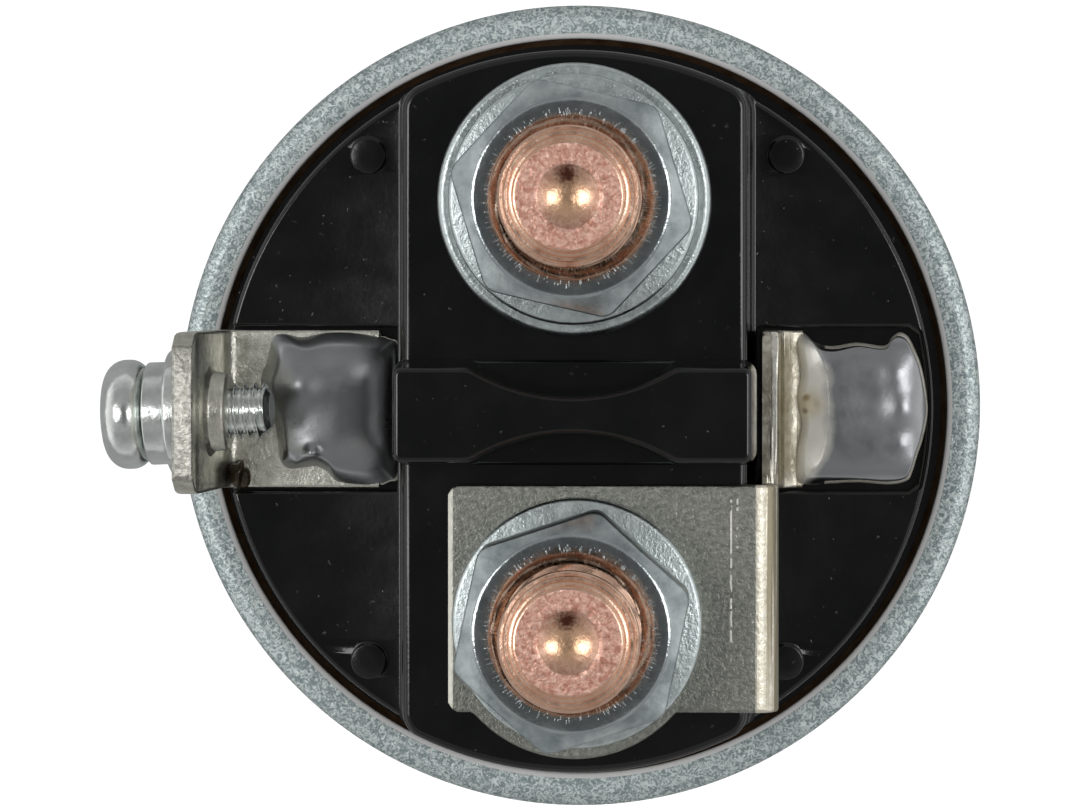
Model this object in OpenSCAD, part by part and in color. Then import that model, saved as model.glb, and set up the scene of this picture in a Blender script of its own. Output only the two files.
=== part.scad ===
// Starter solenoid relay: a drawn steel case with its terminal cap, windings,
// contact set and plunger, one module for each piece.
// The origin lies on the axis, at the front face that bolts to the starter.
// +Z runs along the axis to the terminals, +Y to the battery stud and +X to the
// pocket of the motor strap. Sizes are millimetres.

/* [Case] */
// Outside diameter of the drawn case
case_d = 59; // [58.5:0.5:64]
// Height from the front face to the top of the rolled rim
case_h = 57; // [56:0.5:60]
// Thickness of the side wall below the seat
case_wall = 3; // [2.6:0.1:3.4]
// Thickness of the mouth, turned thin so that it can be rolled
rim_wall = 1.6; // [1.4:0.1:1.8]
// Reach of the rolled lip over the shoulder of the cap
lip_reach = 0.7; // [0.5:0.1:0.9]
// Height of the rolled lip over that shoulder
lip_h = 1.4; // [1.2:0.1:1.8]
// Radius on the outside of the rolled rim
rim_round = 1.1; // [0.6:0.1:1.2]
// Radius of the drawn corner at the front
front_round = 1.5; // [0.8:0.1:2]
// Thickness of the front wall
front_t = 5; // [4.5:0.25:6]
// Depth of the fixed core's seat below the top of the rim
seat_drop = 17; // [16.5:0.25:18]

/* [Mounting] */
// Diameter of the register that centres the case in the starter
pilot_d = 38; // [36:0.5:39]
// Height of that register
pilot_h = 2.5; // [1.5:0.25:3]
// Circle of the tapped holes
mount_pcd = 47; // [46.5:0.25:48]
// Diameter of the M6 tapped holes, across their crests
mount_hole_d = 5; // [4.2:0.1:5]
// Number of tapped holes
mount_holes = 3; // [2:1:4]

/* [Windings] */
// Thickness of the brass guide tube
sleeve_t = 0.9; // [0.6:0.1:1.2]
// Length of the guide tube over the core's boss
sleeve_overlap = 6; // [4:0.5:8]
// Thickness of the bobbin's tube and flanges
bobbin_t = 1.2; // [1:0.1:1.5]
// Radial gap between the bobbin and the case
bobbin_gap = 0.3; // [0.1:0.05:0.5]
// Share of the spool's depth that the pull-in winding takes
pull_in_share = 0.5; // [0.4:0.05:0.6]
// Thickness of the insulating wrap
wrap_t = 0.4; // [0.2:0.1:0.6]
// Diameter of a winding lead
lead_d = 1.6; // [1.2:0.1:1.8]
// Distance of the leads from the wall of the contact chamber
lead_edge = 2.8; // [2.6:0.1:3]
// Thickness of the insulating tubes on the leads
lead_sleeve_t = 0.7; // [0.5:0.1:0.9]

/* [Core] */
// Thickness of the stop plate
core_plate_t = 4; // [3.5:0.25:4.25]
// Length of the boss that the plunger is drawn to
core_boss_h = 12; // [10:0.5:13]
// Thickness of the rubber ring under the cap
gasket_t = 1; // [0.8:0.1:1.2]
// Radial width of that ring
gasket_w = 3.2; // [2.6:0.1:3.6]

/* [Terminal cap] */
// Width of the groove between the rolled lip and the cap
rim_groove = 1.5; // [1.2:0.1:1.8]
// Height of the deck over the rim
deck_rise = 6.5; // [6:0.25:7.5]
// Radius on the edge of the deck
deck_round = 0.6; // [0.3:0.1:0.9]
// Thickness of the deck
deck_t = 3; // [2.75:0.25:3.25]
// Wall of the contact chamber
cap_wall = 2.9; // [2.6:0.1:3.2]
// Depth of the solder pockets
pocket_depth = 1.5; // [1.3:0.1:1.5]
// Width of the solder pockets
pocket_w = 11.8; // [11.7:0.1:12.4]
// Wall left outside the right-hand pocket
pocket_wall = 0.5; // [0.4:0.1:1]
// Width of the raised slab at its top
slab_w = 24.4; // [24:0.1:24.8]
// Height of the slab over the deck
slab_rise = 8; // [7:0.25:9]
// Draft of the slab on each side, over its height
slab_draft = 0.3; // [0.1:0.05:0.4]
// Radius of the slab's corners, seen along the axis
slab_corner = 2.2; // [1:0.1:3]
// Radius on the slab's upper edge
slab_round = 0.5; // [0.2:0.1:0.8]
// Width of the insulating rib at its top
rib_w = 6.6; // [6:0.1:7]
// Height of the rib over the slab
rib_rise = 7.5; // [6:0.25:9]
// Draft of the rib on each side, over its height
rib_draft = 0.45; // [0.1:0.05:0.5]
// Radius of the socket clearance cut into the rib round each stud
scallop_r = 13.7; // [13:0.1:14]
// Height of the ledge that the clearance cuts leave
scallop_ledge = 1.2; // [0.8:0.1:2]
// Radius of the four ejector marks
ejector_r = 1.3; // [1:0.05:1.5]

/* [Studs] */
// Distance between the two studs
stud_spacing = 30; // [29.6:0.1:30]
// Thread diameter of the studs
stud_d = 10; // [10:0.05:10.2]
// Height of the stud end over the slab
stud_rise = 18.5; // [18:0.25:22]
// Thickness of the stud head
head_t = 3.7; // [3.4:0.1:3.9]
// Radius of the stud head
head_r = 7.6; // [7.2:0.1:7.8]
// Depth of the recess that holds the head in the cap
head_recess = 1; // [0.8:0.1:1.2]
// Nut size across flats
nut_af = 15; // [15:0.25:16]
// Nut height
nut_h = 7; // [6:0.25:8]
// Reach of the nut's chamfer, measured inwards from its corners
nut_chamfer = 1.8; // [1.6:0.1:2]
// Outside diameter of the plain washer
flat_washer_d = 19.3; // [18:0.1:19.6]
// Thickness of the plain washer
flat_washer_t = 1.5; // [1.2:0.1:1.8]
// Outside diameter of the spring washers
spring_washer_d = 17.6; // [17:0.1:18]
// Thickness of the spring washers
spring_washer_t = 1.8; // [1.5:0.1:2]
// Height that their dish adds
spring_washer_dish = 0.4; // [0.2:0.05:0.5]
// Width and height of the square rubber ring round each stud
seal_w = 1.5; // [1.2:0.1:1.8]

/* [Motor strap] */
// Thickness of the strap
strap_t = 1.15; // [1:0.05:1.3]
// Reach of the strap to the left of the stud
strap_left = 8.9; // [8:0.1:10]
// Gap between the rib's foot and the strap
strap_rib_gap = 1.35; // [1.2:0.05:1.6]
// Reach of the strap from the stud away from the rib
strap_front = 6.2; // [5.7:0.1:7]
// Radius of the round lobe under the nut
strap_lobe_r = 9.5; // [9:0.1:9.6]
// Gap between the slab's foot and the strap's leg
leg_gap = 0.8; // [0.3:0.05:1]
// Inside radius of the bend over the slab
strap_bend_r = 0.5; // [0.4:0.05:0.8]
// Inside radius of the bend into the foot
foot_bend_r = 1.8; // [1.4:0.1:2]
// Width of the foot
foot_w = 11.4; // [10.8:0.1:11.5]

/* [Switch terminal] */
// Thickness of the bracket
bracket_t = 1.5; // [1.3:0.05:1.5]
// Width of the bracket
bracket_w = 11.4; // [10.8:0.1:11.6]
// Distance of the post's foot inside the edge of the cap
post_inset = 0.3; // [0.2:0.05:0.5]
// Length of the post above its bend
post_len = 12.75; // [12:0.25:14]
// Outward lean of the post in degrees
post_lean = 5; // [0:0.5:7]
// Inside radius of the bend
post_bend_r = 0.8; // [0.6:0.1:1]
// Corner cut of the post, along its top edge
post_corner_w = 1.1; // [0.5:0.1:2]
// Corner cut of the post, down its side
post_corner_h = 2; // [1:0.1:3]
// Height of the screw above the bend
screw_h = 5.85; // [5.2:0.05:6.5]
// Outside diameter of the drawn collar
collar_d = 5.7; // [5.4:0.1:6.4]
// Length of the drawn collar
collar_h = 1.4; // [1:0.1:1.8]
// Thread diameter of the switch screw
screw_d = 4; // [4:0.05:4.2]
// Length of the screw under its head
screw_len = 8.8; // [8.4:0.1:10]
// Diameter of the pan head
pan_d = 7.9; // [7.6:0.1:8.4]
// Height of the pan head
pan_h = 3.2; // [2.6:0.1:3.4]
// Radius on the back edge of the pan head
pan_back_round = 1.3; // [0.4:0.1:1.4]
// Outside diameter of the split washer
lock_washer_d = 7.3; // [6.8:0.1:7.6]
// Thickness of the split washer
lock_washer_t = 1.6; // [1.2:0.1:1.8]
// Outside diameter of the plain washer on the screw
screw_washer_d = 9; // [8.5:0.1:9.4]
// Thickness of the plain washer on the screw
screw_washer_t = 1.3; // [1:0.1:1.4]

/* [Solder] */
// Height of the solder over the metal it covers
solder_h = 1.6; // [1.2:0.1:2]
// Gap between the slab's foot and the solder on the switch bracket
solder_slab_gap = 0.3; // [0.2:0.1:1]
// Gap between that solder and the bend of the post
solder_post_gap = 2.1; // [1.8:0.1:2.6]

/* [Contacts] */
// Travel of the moving contact
contact_stroke = 3; // [2.5:0.25:3]
// Gap left to the stud heads at full travel
contact_left = 0.05; // [0.03:0.01:0.1]
// Radius of the moving contact disc
disc_r = 17; // [16:0.1:17.2]
// Thickness of the disc
disc_t = 2.5; // [2:0.1:2.75]
// Radius of the push rod
rod_r = 2.5; // [2.3:0.1:2.6]
// Radius of the rod's tip, inside the return spring
rod_tip_r = 2; // [1.8:0.1:2.1]
// Radial gap round the rod in the core
rod_gap = 0.2; // [0.1:0.05:0.3]
// Radius of the rod's collar
rod_collar_r = 5.2; // [5:0.1:5.6]
// Thickness of the rod's collar
rod_collar_t = 1; // [0.8:0.1:1.2]
// Flange radius of the insulating bushes
insulator_r = 6.2; // [5.8:0.1:6.4]
// Thickness of an insulating flange
insulator_t = 1; // [0.8:0.1:1.1]
// Wall of the bush through the disc
insulator_wall = 1.5; // [1.2:0.1:1.7]
// Thickness of the rod clip
rod_clip_t = 0.8; // [0.6:0.1:0.9]
// Radius of the rod clip
rod_clip_r = 4.1; // [3.9:0.1:4.2]
// Wire diameter of the contact pressure spring
pressure_wire_d = 1.1; // [0.9:0.1:1.2]
// Mean radius of the contact pressure spring
pressure_spring_r = 4.2; // [4:0.1:4.4]
// Wire diameter of the contact return spring
return_wire_d = 0.8; // [0.6:0.1:0.9]
// Mean radius of the contact return spring
return_spring_r = 3.2; // [3:0.1:3.3]
// Radius of the spring pocket in the cap
spring_pocket_r = 4.6; // [4.4:0.1:5]
// Depth of the spring pocket above the chamber
spring_pocket_h = 5.5; // [5:0.25:7]

/* [Plunger] */
// Diameter of the plunger
plunger_d = 22; // [21:0.25:22.5]
// Travel of the plunger
plunger_stroke = 12; // [10:0.5:12]
// Gap left to the core's boss at full travel
plunger_left = 0.1; // [0.05:0.01:0.2]
// Radial gap between the plunger and its guide tube
plunger_gap = 0.1; // [0.05:0.01:0.15]
// Reach of the full diameter below the front face, at rest
plunger_reach = 27; // [26:0.5:30]
// Length of the stub that carries the spring cup
stub_h = 4.2; // [3.8:0.1:5]
// Radius of the stub
stub_r = 7; // [6.5:0.1:7.5]
// Wire diameter of the plunger spring
plunger_wire_d = 2; // [1.6:0.1:2.2]
// Mean radius of the plunger spring
plunger_spring_r = 13.6; // [13.2:0.1:13.9]
// Turns of the plunger spring
plunger_turns = 5; // [4:0.5:5]
// Sheet thickness of the spring cup
cup_t = 1.2; // [1:0.1:1.4]
// Height of the cup's rim
cup_rim_h = 3; // [2.5:0.25:4]
// Thickness of the ring that holds the cup
seat_clip_t = 1.2; // [1:0.1:1.3]

/* [Lever eye] */
// Thickness of the eye
eye_t = 8; // [6:0.5:10]
// Width of the eye
eye_w = 15; // [14:0.5:18]
// Length of the eye below the plunger
eye_len = 16; // [15:0.5:20]
// Width of the slot that takes the shift lever
slot_w = 7; // [6:0.25:8]
// Length of that slot
slot_len = 10; // [9:0.25:11]
// Radius of the riveted shank
shank_r = 4; // [3.5:0.1:5]
// Length of the riveted shank
shank_h = 8; // [6:0.5:10]

/* [Hidden] */
$fn = 96;

// Overrun of every cut past the face that it opens
overrun = 1;
// Depth of a thread as a share of its pitch, from the crest to the pitch line
thread_share = 0.3248;
// Pitch of the stud thread and of the screw thread
stud_pitch = 1.5;
screw_pitch = 0.7;
// Rings in one turn of a spring, and sides of its wire
ring_count = 8;
wire_sides = 6;

// Radii of the case, from the outside in
case_r = case_d / 2;
case_in_r = case_r - case_wall;
mouth_r = case_r - rim_wall;
lip_r = mouth_r - lip_reach;
cap_r = lip_r - rim_groove;
chamber_r = cap_r - cap_wall;
pilot_r = pilot_d / 2;
pilot_chamfer = 0.5;
hole_chamfer = 0.5;

// Heights, from the seat of the core up to the stud ends
seat_z = case_h - seat_drop;
plate_top = seat_z + core_plate_t;
flange_z = plate_top + gasket_t;
shoulder_z = case_h - lip_h;
deck_z = case_h + deck_rise;
ceiling_z = deck_z - deck_t;
pocket_z = deck_z - pocket_depth;
slab_z = deck_z + slab_rise;
rib_z = slab_z + rib_rise;
stud_top = slab_z + stud_rise;

// Slab, seen along the axis
slab_end_gap = 0.1;
slab_r = cap_r - slab_end_gap;
slab_foot_x = slab_w / 2 + slab_draft;
rib_overhang = 0.25;
rib_corner = 0.6;
ejector_x = 15.1;
ejector_y = 18.3;
ejector_rise = 0.25;

// Studs and what they clamp
stud_y = stud_spacing / 2;
stud_r = stud_d / 2;
stud_pitch_r = stud_r - thread_share * stud_pitch;
stud_gap = 0.1;
stud_chamfer = 1.4;
dimple_r = 2;
dimple_depth = 1.2;
head_gap = 0.15;
head_flat = 12.6;
head_top = ceiling_z + head_recess;
contact_z = head_top - head_t;
countersink_r = 5.6;
washer_hole_gap = 0.25;
washer_chamfer = 0.6;
battery_clamp = flat_washer_t + spring_washer_t + spring_washer_dish;
motor_clamp = strap_t + spring_washer_t + spring_washer_dish;
// Turn of each nut's corners, in degrees
battery_nut_turn = 47;
motor_nut_turn = 18;

// Motor strap
leg_in = slab_foot_x + leg_gap;
leg_out = leg_in + strap_t;
foot_top = pocket_z + strap_t;
leg_drop = 2;
leg_low = 2.5;
leg_step = 3;
strap_corner = 0.6;
foot_bend_x = leg_out + foot_bend_r;
foot_bend_z = foot_top + foot_bend_r;
foot_gap = 0.3;
pocket_r = cap_r - pocket_wall;
strap_y0 = -stud_y - strap_front;
strap_y1 = -rib_w / 2 - rib_draft - strap_rib_gap;

// Switch terminal. The post's frame has its origin at the centre of the bend.
base_top = pocket_z + bracket_t;
base_gap = 1.7;
base_in = slab_foot_x + base_gap;
bend_x = cap_r - post_inset - post_bend_r;
bend_z = base_top + post_bend_r;
post_out = post_bend_r + bracket_t;
screw_r = screw_d / 2;
screw_pitch_r = screw_r - thread_share * screw_pitch;
screw_clearance = 0.15;
screw_seat = post_out + screw_washer_t + lock_washer_t;
screw_end = screw_seat - screw_len;
screw_chamfer = 0.4;
pan_round = 1.6;
driver_w = 1.1;
driver_len = 4.4;
driver_depth = 1.6;
split_w = 0.6;

// Solder
solder_corner = 1.4;
solder_skin = 0.3;
// Inset of each layer of a pad's crown as a share of its height, from the foot up
crown_inset_shares = [0, 0.12, 0.45, 1.1];
crown_rise_shares = [0, 0.45, 0.8, 1];
motor_solder_in = foot_bend_x;
switch_solder_in = slab_foot_x + solder_slab_gap;
switch_solder_out = bend_x - solder_post_gap;

// Contact set, at rest
disc_top = contact_z - contact_stroke - contact_left;
disc_z = disc_top - disc_t;
rod_collar_gap = 0.3;
rod_collar_z = plate_top + rod_collar_gap;
pressure_z = rod_collar_z + rod_collar_t;
lower_flange_z = disc_z - insulator_t;
clip_z = disc_top + insulator_t;
return_z = clip_z + rod_clip_t;
spring_pocket_z = ceiling_z + spring_pocket_h;
rod_tip_gap = 0.6;
rod_top = spring_pocket_z - contact_stroke - rod_tip_gap;
core_face = seat_z - core_boss_h;
rod_left = 0.1;
rod_bottom = core_face - plunger_left + rod_left - contact_stroke;
bush_r = rod_r + insulator_wall;
bush_gap = 0.1;
clip_groove = 0.6;
disc_round = 0.3;
pressure_turns = 2.5;
return_turns = 4;
spring_seat_gap = 0.02;

// Windings and their guide tube
plunger_r = plunger_d / 2;
sleeve_in = plunger_r + plunger_gap;
sleeve_out = sleeve_in + sleeve_t;
spool_r = sleeve_out + bobbin_t;
bobbin_r = case_in_r - bobbin_gap;
wrap_out = bobbin_r - bobbin_t / 2;
wrap_in = wrap_out - wrap_t;
pull_in_r = spool_r + pull_in_share * (wrap_in - spool_r);
winding_z0 = front_t + bobbin_t;
winding_z1 = seat_z - bobbin_t;
lead_r = lead_d / 2;
lead_x = chamber_r - lead_edge;
lead_gap = 0.05;
lead_in_solder = 0.6;
lead_tube_t = 1.1;

// Plunger, at rest
plunger_top = core_face - plunger_left - plunger_stroke;
plunger_chamfer = 0.8;
cup_z = -plunger_reach;
cup_r = plunger_spring_r + plunger_wire_d / 2 + cup_t + 0.3 * plunger_wire_d;
cup_round = 0.6;
stub_gap = 0.1;
clip_wrap = 1.4;
clip_seat = 0.8;
clip_gap = 0.05;
clip_mouth = 3;
stub_end = cup_z - stub_h;
eye_round = 4;
eye_waist = 1.2;

// Cuts the outer corner of a profile at the origin to radius r
module corner_cut(r) {
    difference() {
        translate([-r, -r]) square(r + overrun);
        translate([-r, -r]) circle(r);
    }
}

// Tube between two radii and two heights
module tube(r_in, r_out, z0, z1) {
    translate([0, 0, z0]) difference() {
        cylinder(r = r_out, h = z1 - z0);
        translate([0, 0, -overrun]) cylinder(r = r_in, h = z1 - z0 + 2 * overrun);
    }
}

// Band of a bent sheet between two radii, from angle a0 to a1
module bend_band(r_in, r_out, a0, a1) {
    reach = 2 * r_out;
    am = (a0 + a1) / 2;
    intersection() {
        difference() {
            circle(r_out);
            circle(r_in);
        }
        polygon([[0, 0], reach * [cos(a0), sin(a0)], reach * [cos(am), sin(am)],
            reach * [cos(a1), sin(a1)]]);
    }
}

// Centre line of a spring: its first and last half turn lie flat on their seats
function coil_point(f, turns, mean_r, rise) =
    let (climb = min(turns - 1, max(0, f - 1 / 2)) / (turns - 1))
    [mean_r * cos(360 * f), mean_r * sin(360 * f), rise * climb];

// One ring of wire, square to the centre line at turn f
function coil_ring(f, turns, mean_r, rise, wire_r) =
    let (slope = f < 1 / 2 || f > turns - 1 / 2 ? 0 : rise / (turns - 1),
        out = [cos(360 * f), sin(360 * f), 0],
        run = [-2 * PI * mean_r * sin(360 * f), 2 * PI * mean_r * cos(360 * f), slope],
        along = run / norm(run),
        up = cross(out, along))
    [for (k = [0:wire_sides - 1])
        coil_point(f, turns, mean_r, rise)
            + wire_r * (cos(360 * (k + 1 / 2) / wire_sides) * out
                - sin(360 * (k + 1 / 2) / wire_sides) * up)];

// Least distance between two stretches of a centre line half a turn or more apart
function least_gap(line) = min([for (i = [0:len(line) - 1], j = [i + ring_count / 2:len(line) - 1])
    norm(line[i] - line[j])]);

// Spring of round wire between two heights, as one unbroken tube
module coil_spring(name, z0, z1, turns, mean_r, wire_d) {
    wire_r = wire_d / 2;
    rise = z1 - z0 - wire_d - 2 * spring_seat_gap;
    steps = round(turns * ring_count);
    line = [for (i = [0:steps]) coil_point(i / ring_count, turns, mean_r, rise)];
    points = [for (i = [0:steps], p = coil_ring(i / ring_count, turns, mean_r, rise, wire_r)) p];
    sides = [for (i = [0:steps - 1], k = [0:wire_sides - 1], half = [0, 1])
        let (a = i * wire_sides + k,
            b = i * wire_sides + (k + 1) % wire_sides,
            c = a + wire_sides,
            d = b + wire_sides)
        half == 0 ? [a, b, c] : [b, d, c]];
    caps = [for (k = [1:wire_sides - 2], end = [0, 1])
        end == 0 ? [0, k + 1, k]
            : [steps * wire_sides, steps * wire_sides + k, steps * wire_sides + k + 1]];
    echo(str(name, " least gap to itself: ", least_gap(line) - wire_d, " mm"));
    translate([0, 0, z0 + wire_r + spring_seat_gap])
        polyhedron(points = points, faces = concat(sides, caps));
}

module case() color("lightslategray") difference() {
    union() {
        rotate_extrude() difference() {
            square([case_r, case_h]);
            translate([case_r, case_h]) corner_cut(rim_round);
            translate([case_r, 0]) mirror([0, 1]) corner_cut(front_round);
            translate([0, front_t]) square([case_in_r, seat_z - front_t]);
            translate([0, seat_z]) square([mouth_r, shoulder_z - seat_z]);
            translate([0, shoulder_z]) square([lip_r, lip_h + overrun]);
            square([sleeve_out, front_t + overrun]);
        }
        rotate_extrude() translate([sleeve_out, -pilot_h]) polygon([
            [0, 0], [pilot_r - sleeve_out - pilot_chamfer, 0],
            [pilot_r - sleeve_out, pilot_chamfer], [pilot_r - sleeve_out, pilot_h + overrun],
            [0, pilot_h + overrun]]);
    }
    for (i = [0:mount_holes - 1]) rotate(90 + 360 * i / mount_holes)
        translate([mount_pcd / 2, 0, 0]) {
            translate([0, 0, -overrun]) cylinder(d = mount_hole_d, h = front_t + 2 * overrun);
            translate([0, 0, -hole_chamfer]) cylinder(r1 = mount_hole_d / 2 + 2 * hole_chamfer,
                r2 = mount_hole_d / 2, h = 2 * hole_chamfer);
        }
}

// Slab outline, drawn in from its foot by inset
module slab_outline(inset) {
    offset(r = slab_corner) offset(delta = -slab_corner - inset) intersection() {
        square([2 * slab_foot_x, 2 * slab_r], center = true);
        circle(slab_r + slab_draft);
    }
}

// Slab with its draft and rounded upper edge, as layers of [height, inset]
module slab() {
    layers = [[pocket_z, 0], [slab_z - slab_round, slab_draft],
        [slab_z - slab_round * (1 - sin(45)), slab_draft + slab_round * (1 - cos(45))],
        [slab_z, slab_draft + slab_round]];
    hull() for (layer = layers) translate([0, 0, layer[0] - solder_skin])
        linear_extrude(solder_skin) slab_outline(layer[1]);
}

// Insulating rib with the socket clearance of each stud cut into it
module rib() {
    half_x = slab_w / 2 + rib_overhang;
    difference() {
        hull() for (end = [[slab_z - overrun, rib_draft], [rib_z - solder_skin, 0]])
            translate([0, 0, end[0]]) linear_extrude(solder_skin)
                offset(r = rib_corner + end[1]) square([2 * (half_x - rib_corner),
                    rib_w - 2 * rib_corner], center = true);
        for (side = [-1, 1]) translate([0, side * stud_y, slab_z + scallop_ledge])
            cylinder(r = scallop_r, h = rib_rise);
    }
}

module terminal_cap() color([0.05, 0.05, 0.055]) difference() {
    union() {
        rotate_extrude() difference() {
            union() {
                translate([0, flange_z]) square([mouth_r, shoulder_z - flange_z]);
                translate([0, flange_z]) square([cap_r, deck_z - flange_z]);
            }
            translate([cap_r, deck_z]) corner_cut(deck_round);
            translate([0, flange_z - overrun])
                square([chamber_r, ceiling_z - flange_z + overrun]);
        }
        slab();
        rib();
        for (side = [-1, 1], across = [-1, 1]) translate([across * ejector_x, side * ejector_y,
            deck_z - overrun]) cylinder(r = ejector_r, h = overrun + ejector_rise);
        for (side = [-1, 1]) translate([side * lead_x, 0, 0])
            tube(lead_r + lead_gap, lead_r + lead_tube_t, plate_top + lead_tube_t,
                ceiling_z + lead_tube_t / 2);
    }
    translate([-cap_r - overrun, -pocket_w / 2, pocket_z])
        cube([cap_r + overrun - slab_foot_x, pocket_w, pocket_depth + overrun]);
    intersection() {
        translate([slab_foot_x, -pocket_w / 2, pocket_z])
            cube([cap_r, pocket_w, pocket_depth + overrun]);
        cylinder(r = pocket_r, h = slab_z);
    }
    for (side = [-1, 1]) {
        translate([side * lead_x, 0, ceiling_z - overrun])
            cylinder(r = lead_r + lead_gap, h = deck_t + 2 * overrun);
        translate([0, side * stud_y, 0]) {
            translate([0, 0, ceiling_z]) cylinder(r = stud_r + stud_gap, h = slab_z);
            translate([0, 0, slab_z - seal_w]) cylinder(r = stud_r + seal_w, h = rib_z);
        }
        translate([0, 0, ceiling_z - overrun]) linear_extrude(head_recess + overrun)
            head_outline(side, 0);
    }
    translate([0, 0, ceiling_z - overrun])
        cylinder(r = spring_pocket_r, h = spring_pocket_h + overrun);
}

module cap_gasket() color("dimgray") tube(mouth_r - gasket_w, mouth_r, plate_top, flange_z);

module fixed_core() color("slategray") difference() {
    rotate_extrude() polygon([[rod_r + rod_gap, core_face], [sleeve_in, core_face],
        [sleeve_in, core_face + sleeve_overlap], [sleeve_out, core_face + sleeve_overlap],
        [sleeve_out, seat_z], [mouth_r, seat_z], [mouth_r, plate_top],
        [rod_r + rod_gap, plate_top]]);
    for (side = [-1, 1]) translate([side * lead_x, 0, seat_z - overrun])
        cylinder(r = lead_r + lead_sleeve_t, h = core_plate_t + 2 * overrun);
}

module plunger_sleeve() color("goldenrod")
    tube(sleeve_in, sleeve_out, -pilot_h, core_face + sleeve_overlap);

module bobbin() color("ivory") difference() {
    rotate_extrude() polygon([[sleeve_out, front_t], [bobbin_r, front_t],
        [bobbin_r, winding_z0], [spool_r, winding_z0], [spool_r, winding_z1],
        [bobbin_r, winding_z1], [bobbin_r, seat_z], [sleeve_out, seat_z]]);
    for (side = [-1, 1]) translate([side * lead_x, 0, winding_z1 - overrun])
        cylinder(r = lead_r + lead_gap, h = bobbin_t + 2 * overrun);
}

module pull_in_winding() color("chocolate")
    tube(spool_r, pull_in_r, winding_z0, winding_z1);

module hold_in_winding() color("peru")
    tube(pull_in_r, wrap_in, winding_z0, winding_z1);

module winding_wrap() color("tan")
    tube(wrap_in, wrap_out, winding_z0, winding_z1);

// Winding end from the top of the windings into the solder
module winding_lead(side, metal_top) {
    translate([side * lead_x, 0, winding_z1])
        cylinder(r = lead_r, h = metal_top + lead_in_solder - winding_z1);
}

module switch_lead() color("chocolate") winding_lead(-1, base_top);

module pull_in_lead() color("chocolate") winding_lead(1, foot_top);

module lead_sleeves() color("white") for (side = [-1, 1])
    translate([side * lead_x, 0, 0]) tube(lead_r, lead_r + lead_sleeve_t, seat_z, plate_top);

// Outline of a stud head: round, with two flats and the chamber's own curve
module head_outline(side, gap) {
    intersection() {
        translate([0, side * stud_y]) intersection() {
            circle(head_r - gap);
            square([head_flat - 2 * gap, 2 * head_r], center = true);
        }
        circle(chamber_r - gap);
    }
}

// Stud, on the side given by its sign. The thread is drawn at its pitch radius
// inside the nut, so that nut and stud meet face to face, and at full radius
// where it stands free.
module stud(side, clamp_h) {
    nut_z = slab_z + clamp_h;
    nut_top = nut_z + nut_h;
    difference() {
        union() {
            translate([0, 0, contact_z]) linear_extrude(head_t) head_outline(side, head_gap);
            translate([0, side * stud_y, 0]) rotate_extrude() polygon([[0, head_top - overrun],
                [stud_r, head_top - overrun], [stud_r, nut_z], [stud_pitch_r, nut_z],
                [stud_pitch_r, nut_top], [stud_r, nut_top], [stud_r, stud_top - stud_chamfer],
                [stud_r - stud_chamfer, stud_top], [0, stud_top]]);
        }
        translate([0, side * stud_y, stud_top - dimple_depth])
            cylinder(r1 = 0, r2 = dimple_r, h = dimple_depth);
    }
}

module battery_stud() color([0.86, 0.55, 0.42]) stud(1, battery_clamp);

module motor_stud() color([0.86, 0.55, 0.42]) stud(-1, motor_clamp);

// Square rubber ring in the cap's counterbore round a stud
module stud_seal(side) {
    translate([0, side * stud_y, 0])
        tube(stud_r, stud_r + seal_w, slab_z - seal_w, slab_z);
}

module battery_stud_seal() color("dimgray") stud_seal(1);

module motor_stud_seal() color("dimgray") stud_seal(-1);

module battery_flat_washer() color("lightsteelblue")
    translate([0, stud_y, slab_z]) rotate_extrude() difference() {
        translate([stud_r + washer_hole_gap, 0])
            square([flat_washer_d / 2 - stud_r - washer_hole_gap, flat_washer_t]);
        translate([flat_washer_d / 2, flat_washer_t]) corner_cut(washer_chamfer);
    }

// Dished washer that stands on its outer edge
module spring_washer(side, z0) {
    inner = stud_r + washer_hole_gap;
    outer = spring_washer_d / 2;
    translate([0, side * stud_y, z0]) rotate_extrude() polygon([
        [inner, spring_washer_dish], [outer, 0], [outer, spring_washer_t],
        [inner, spring_washer_dish + spring_washer_t]]);
}

module battery_spring_washer() color("lightsteelblue")
    spring_washer(1, slab_z + flat_washer_t);

module motor_spring_washer() color("lightsteelblue")
    spring_washer(-1, slab_z + strap_t);

// Hexagon nut, chamfered at both ends and countersunk on top
module hex_nut(side, clamp_h, turn) {
    corner_r = nut_af / 2 / cos(30);
    face_r = corner_r - nut_chamfer;
    cone_r = corner_r + overrun;
    cone_h = (cone_r - face_r) * tan(30);
    translate([0, side * stud_y, slab_z + clamp_h]) difference() {
        intersection() {
            rotate(turn) cylinder(r = corner_r, h = nut_h, $fn = 6);
            rotate_extrude() polygon([[0, 0], [face_r, 0], [cone_r, cone_h],
                [cone_r, nut_h - cone_h], [face_r, nut_h], [0, nut_h]]);
        }
        translate([0, 0, -overrun]) cylinder(r = stud_pitch_r, h = nut_h + 2 * overrun);
        translate([0, 0, nut_h - countersink_r + stud_pitch_r])
            cylinder(r1 = stud_pitch_r, r2 = countersink_r, h = countersink_r - stud_pitch_r);
    }
}

module battery_nut() color("silver") hex_nut(1, battery_clamp, battery_nut_turn);

module motor_nut() color("silver") hex_nut(-1, motor_clamp, motor_nut_turn);

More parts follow.
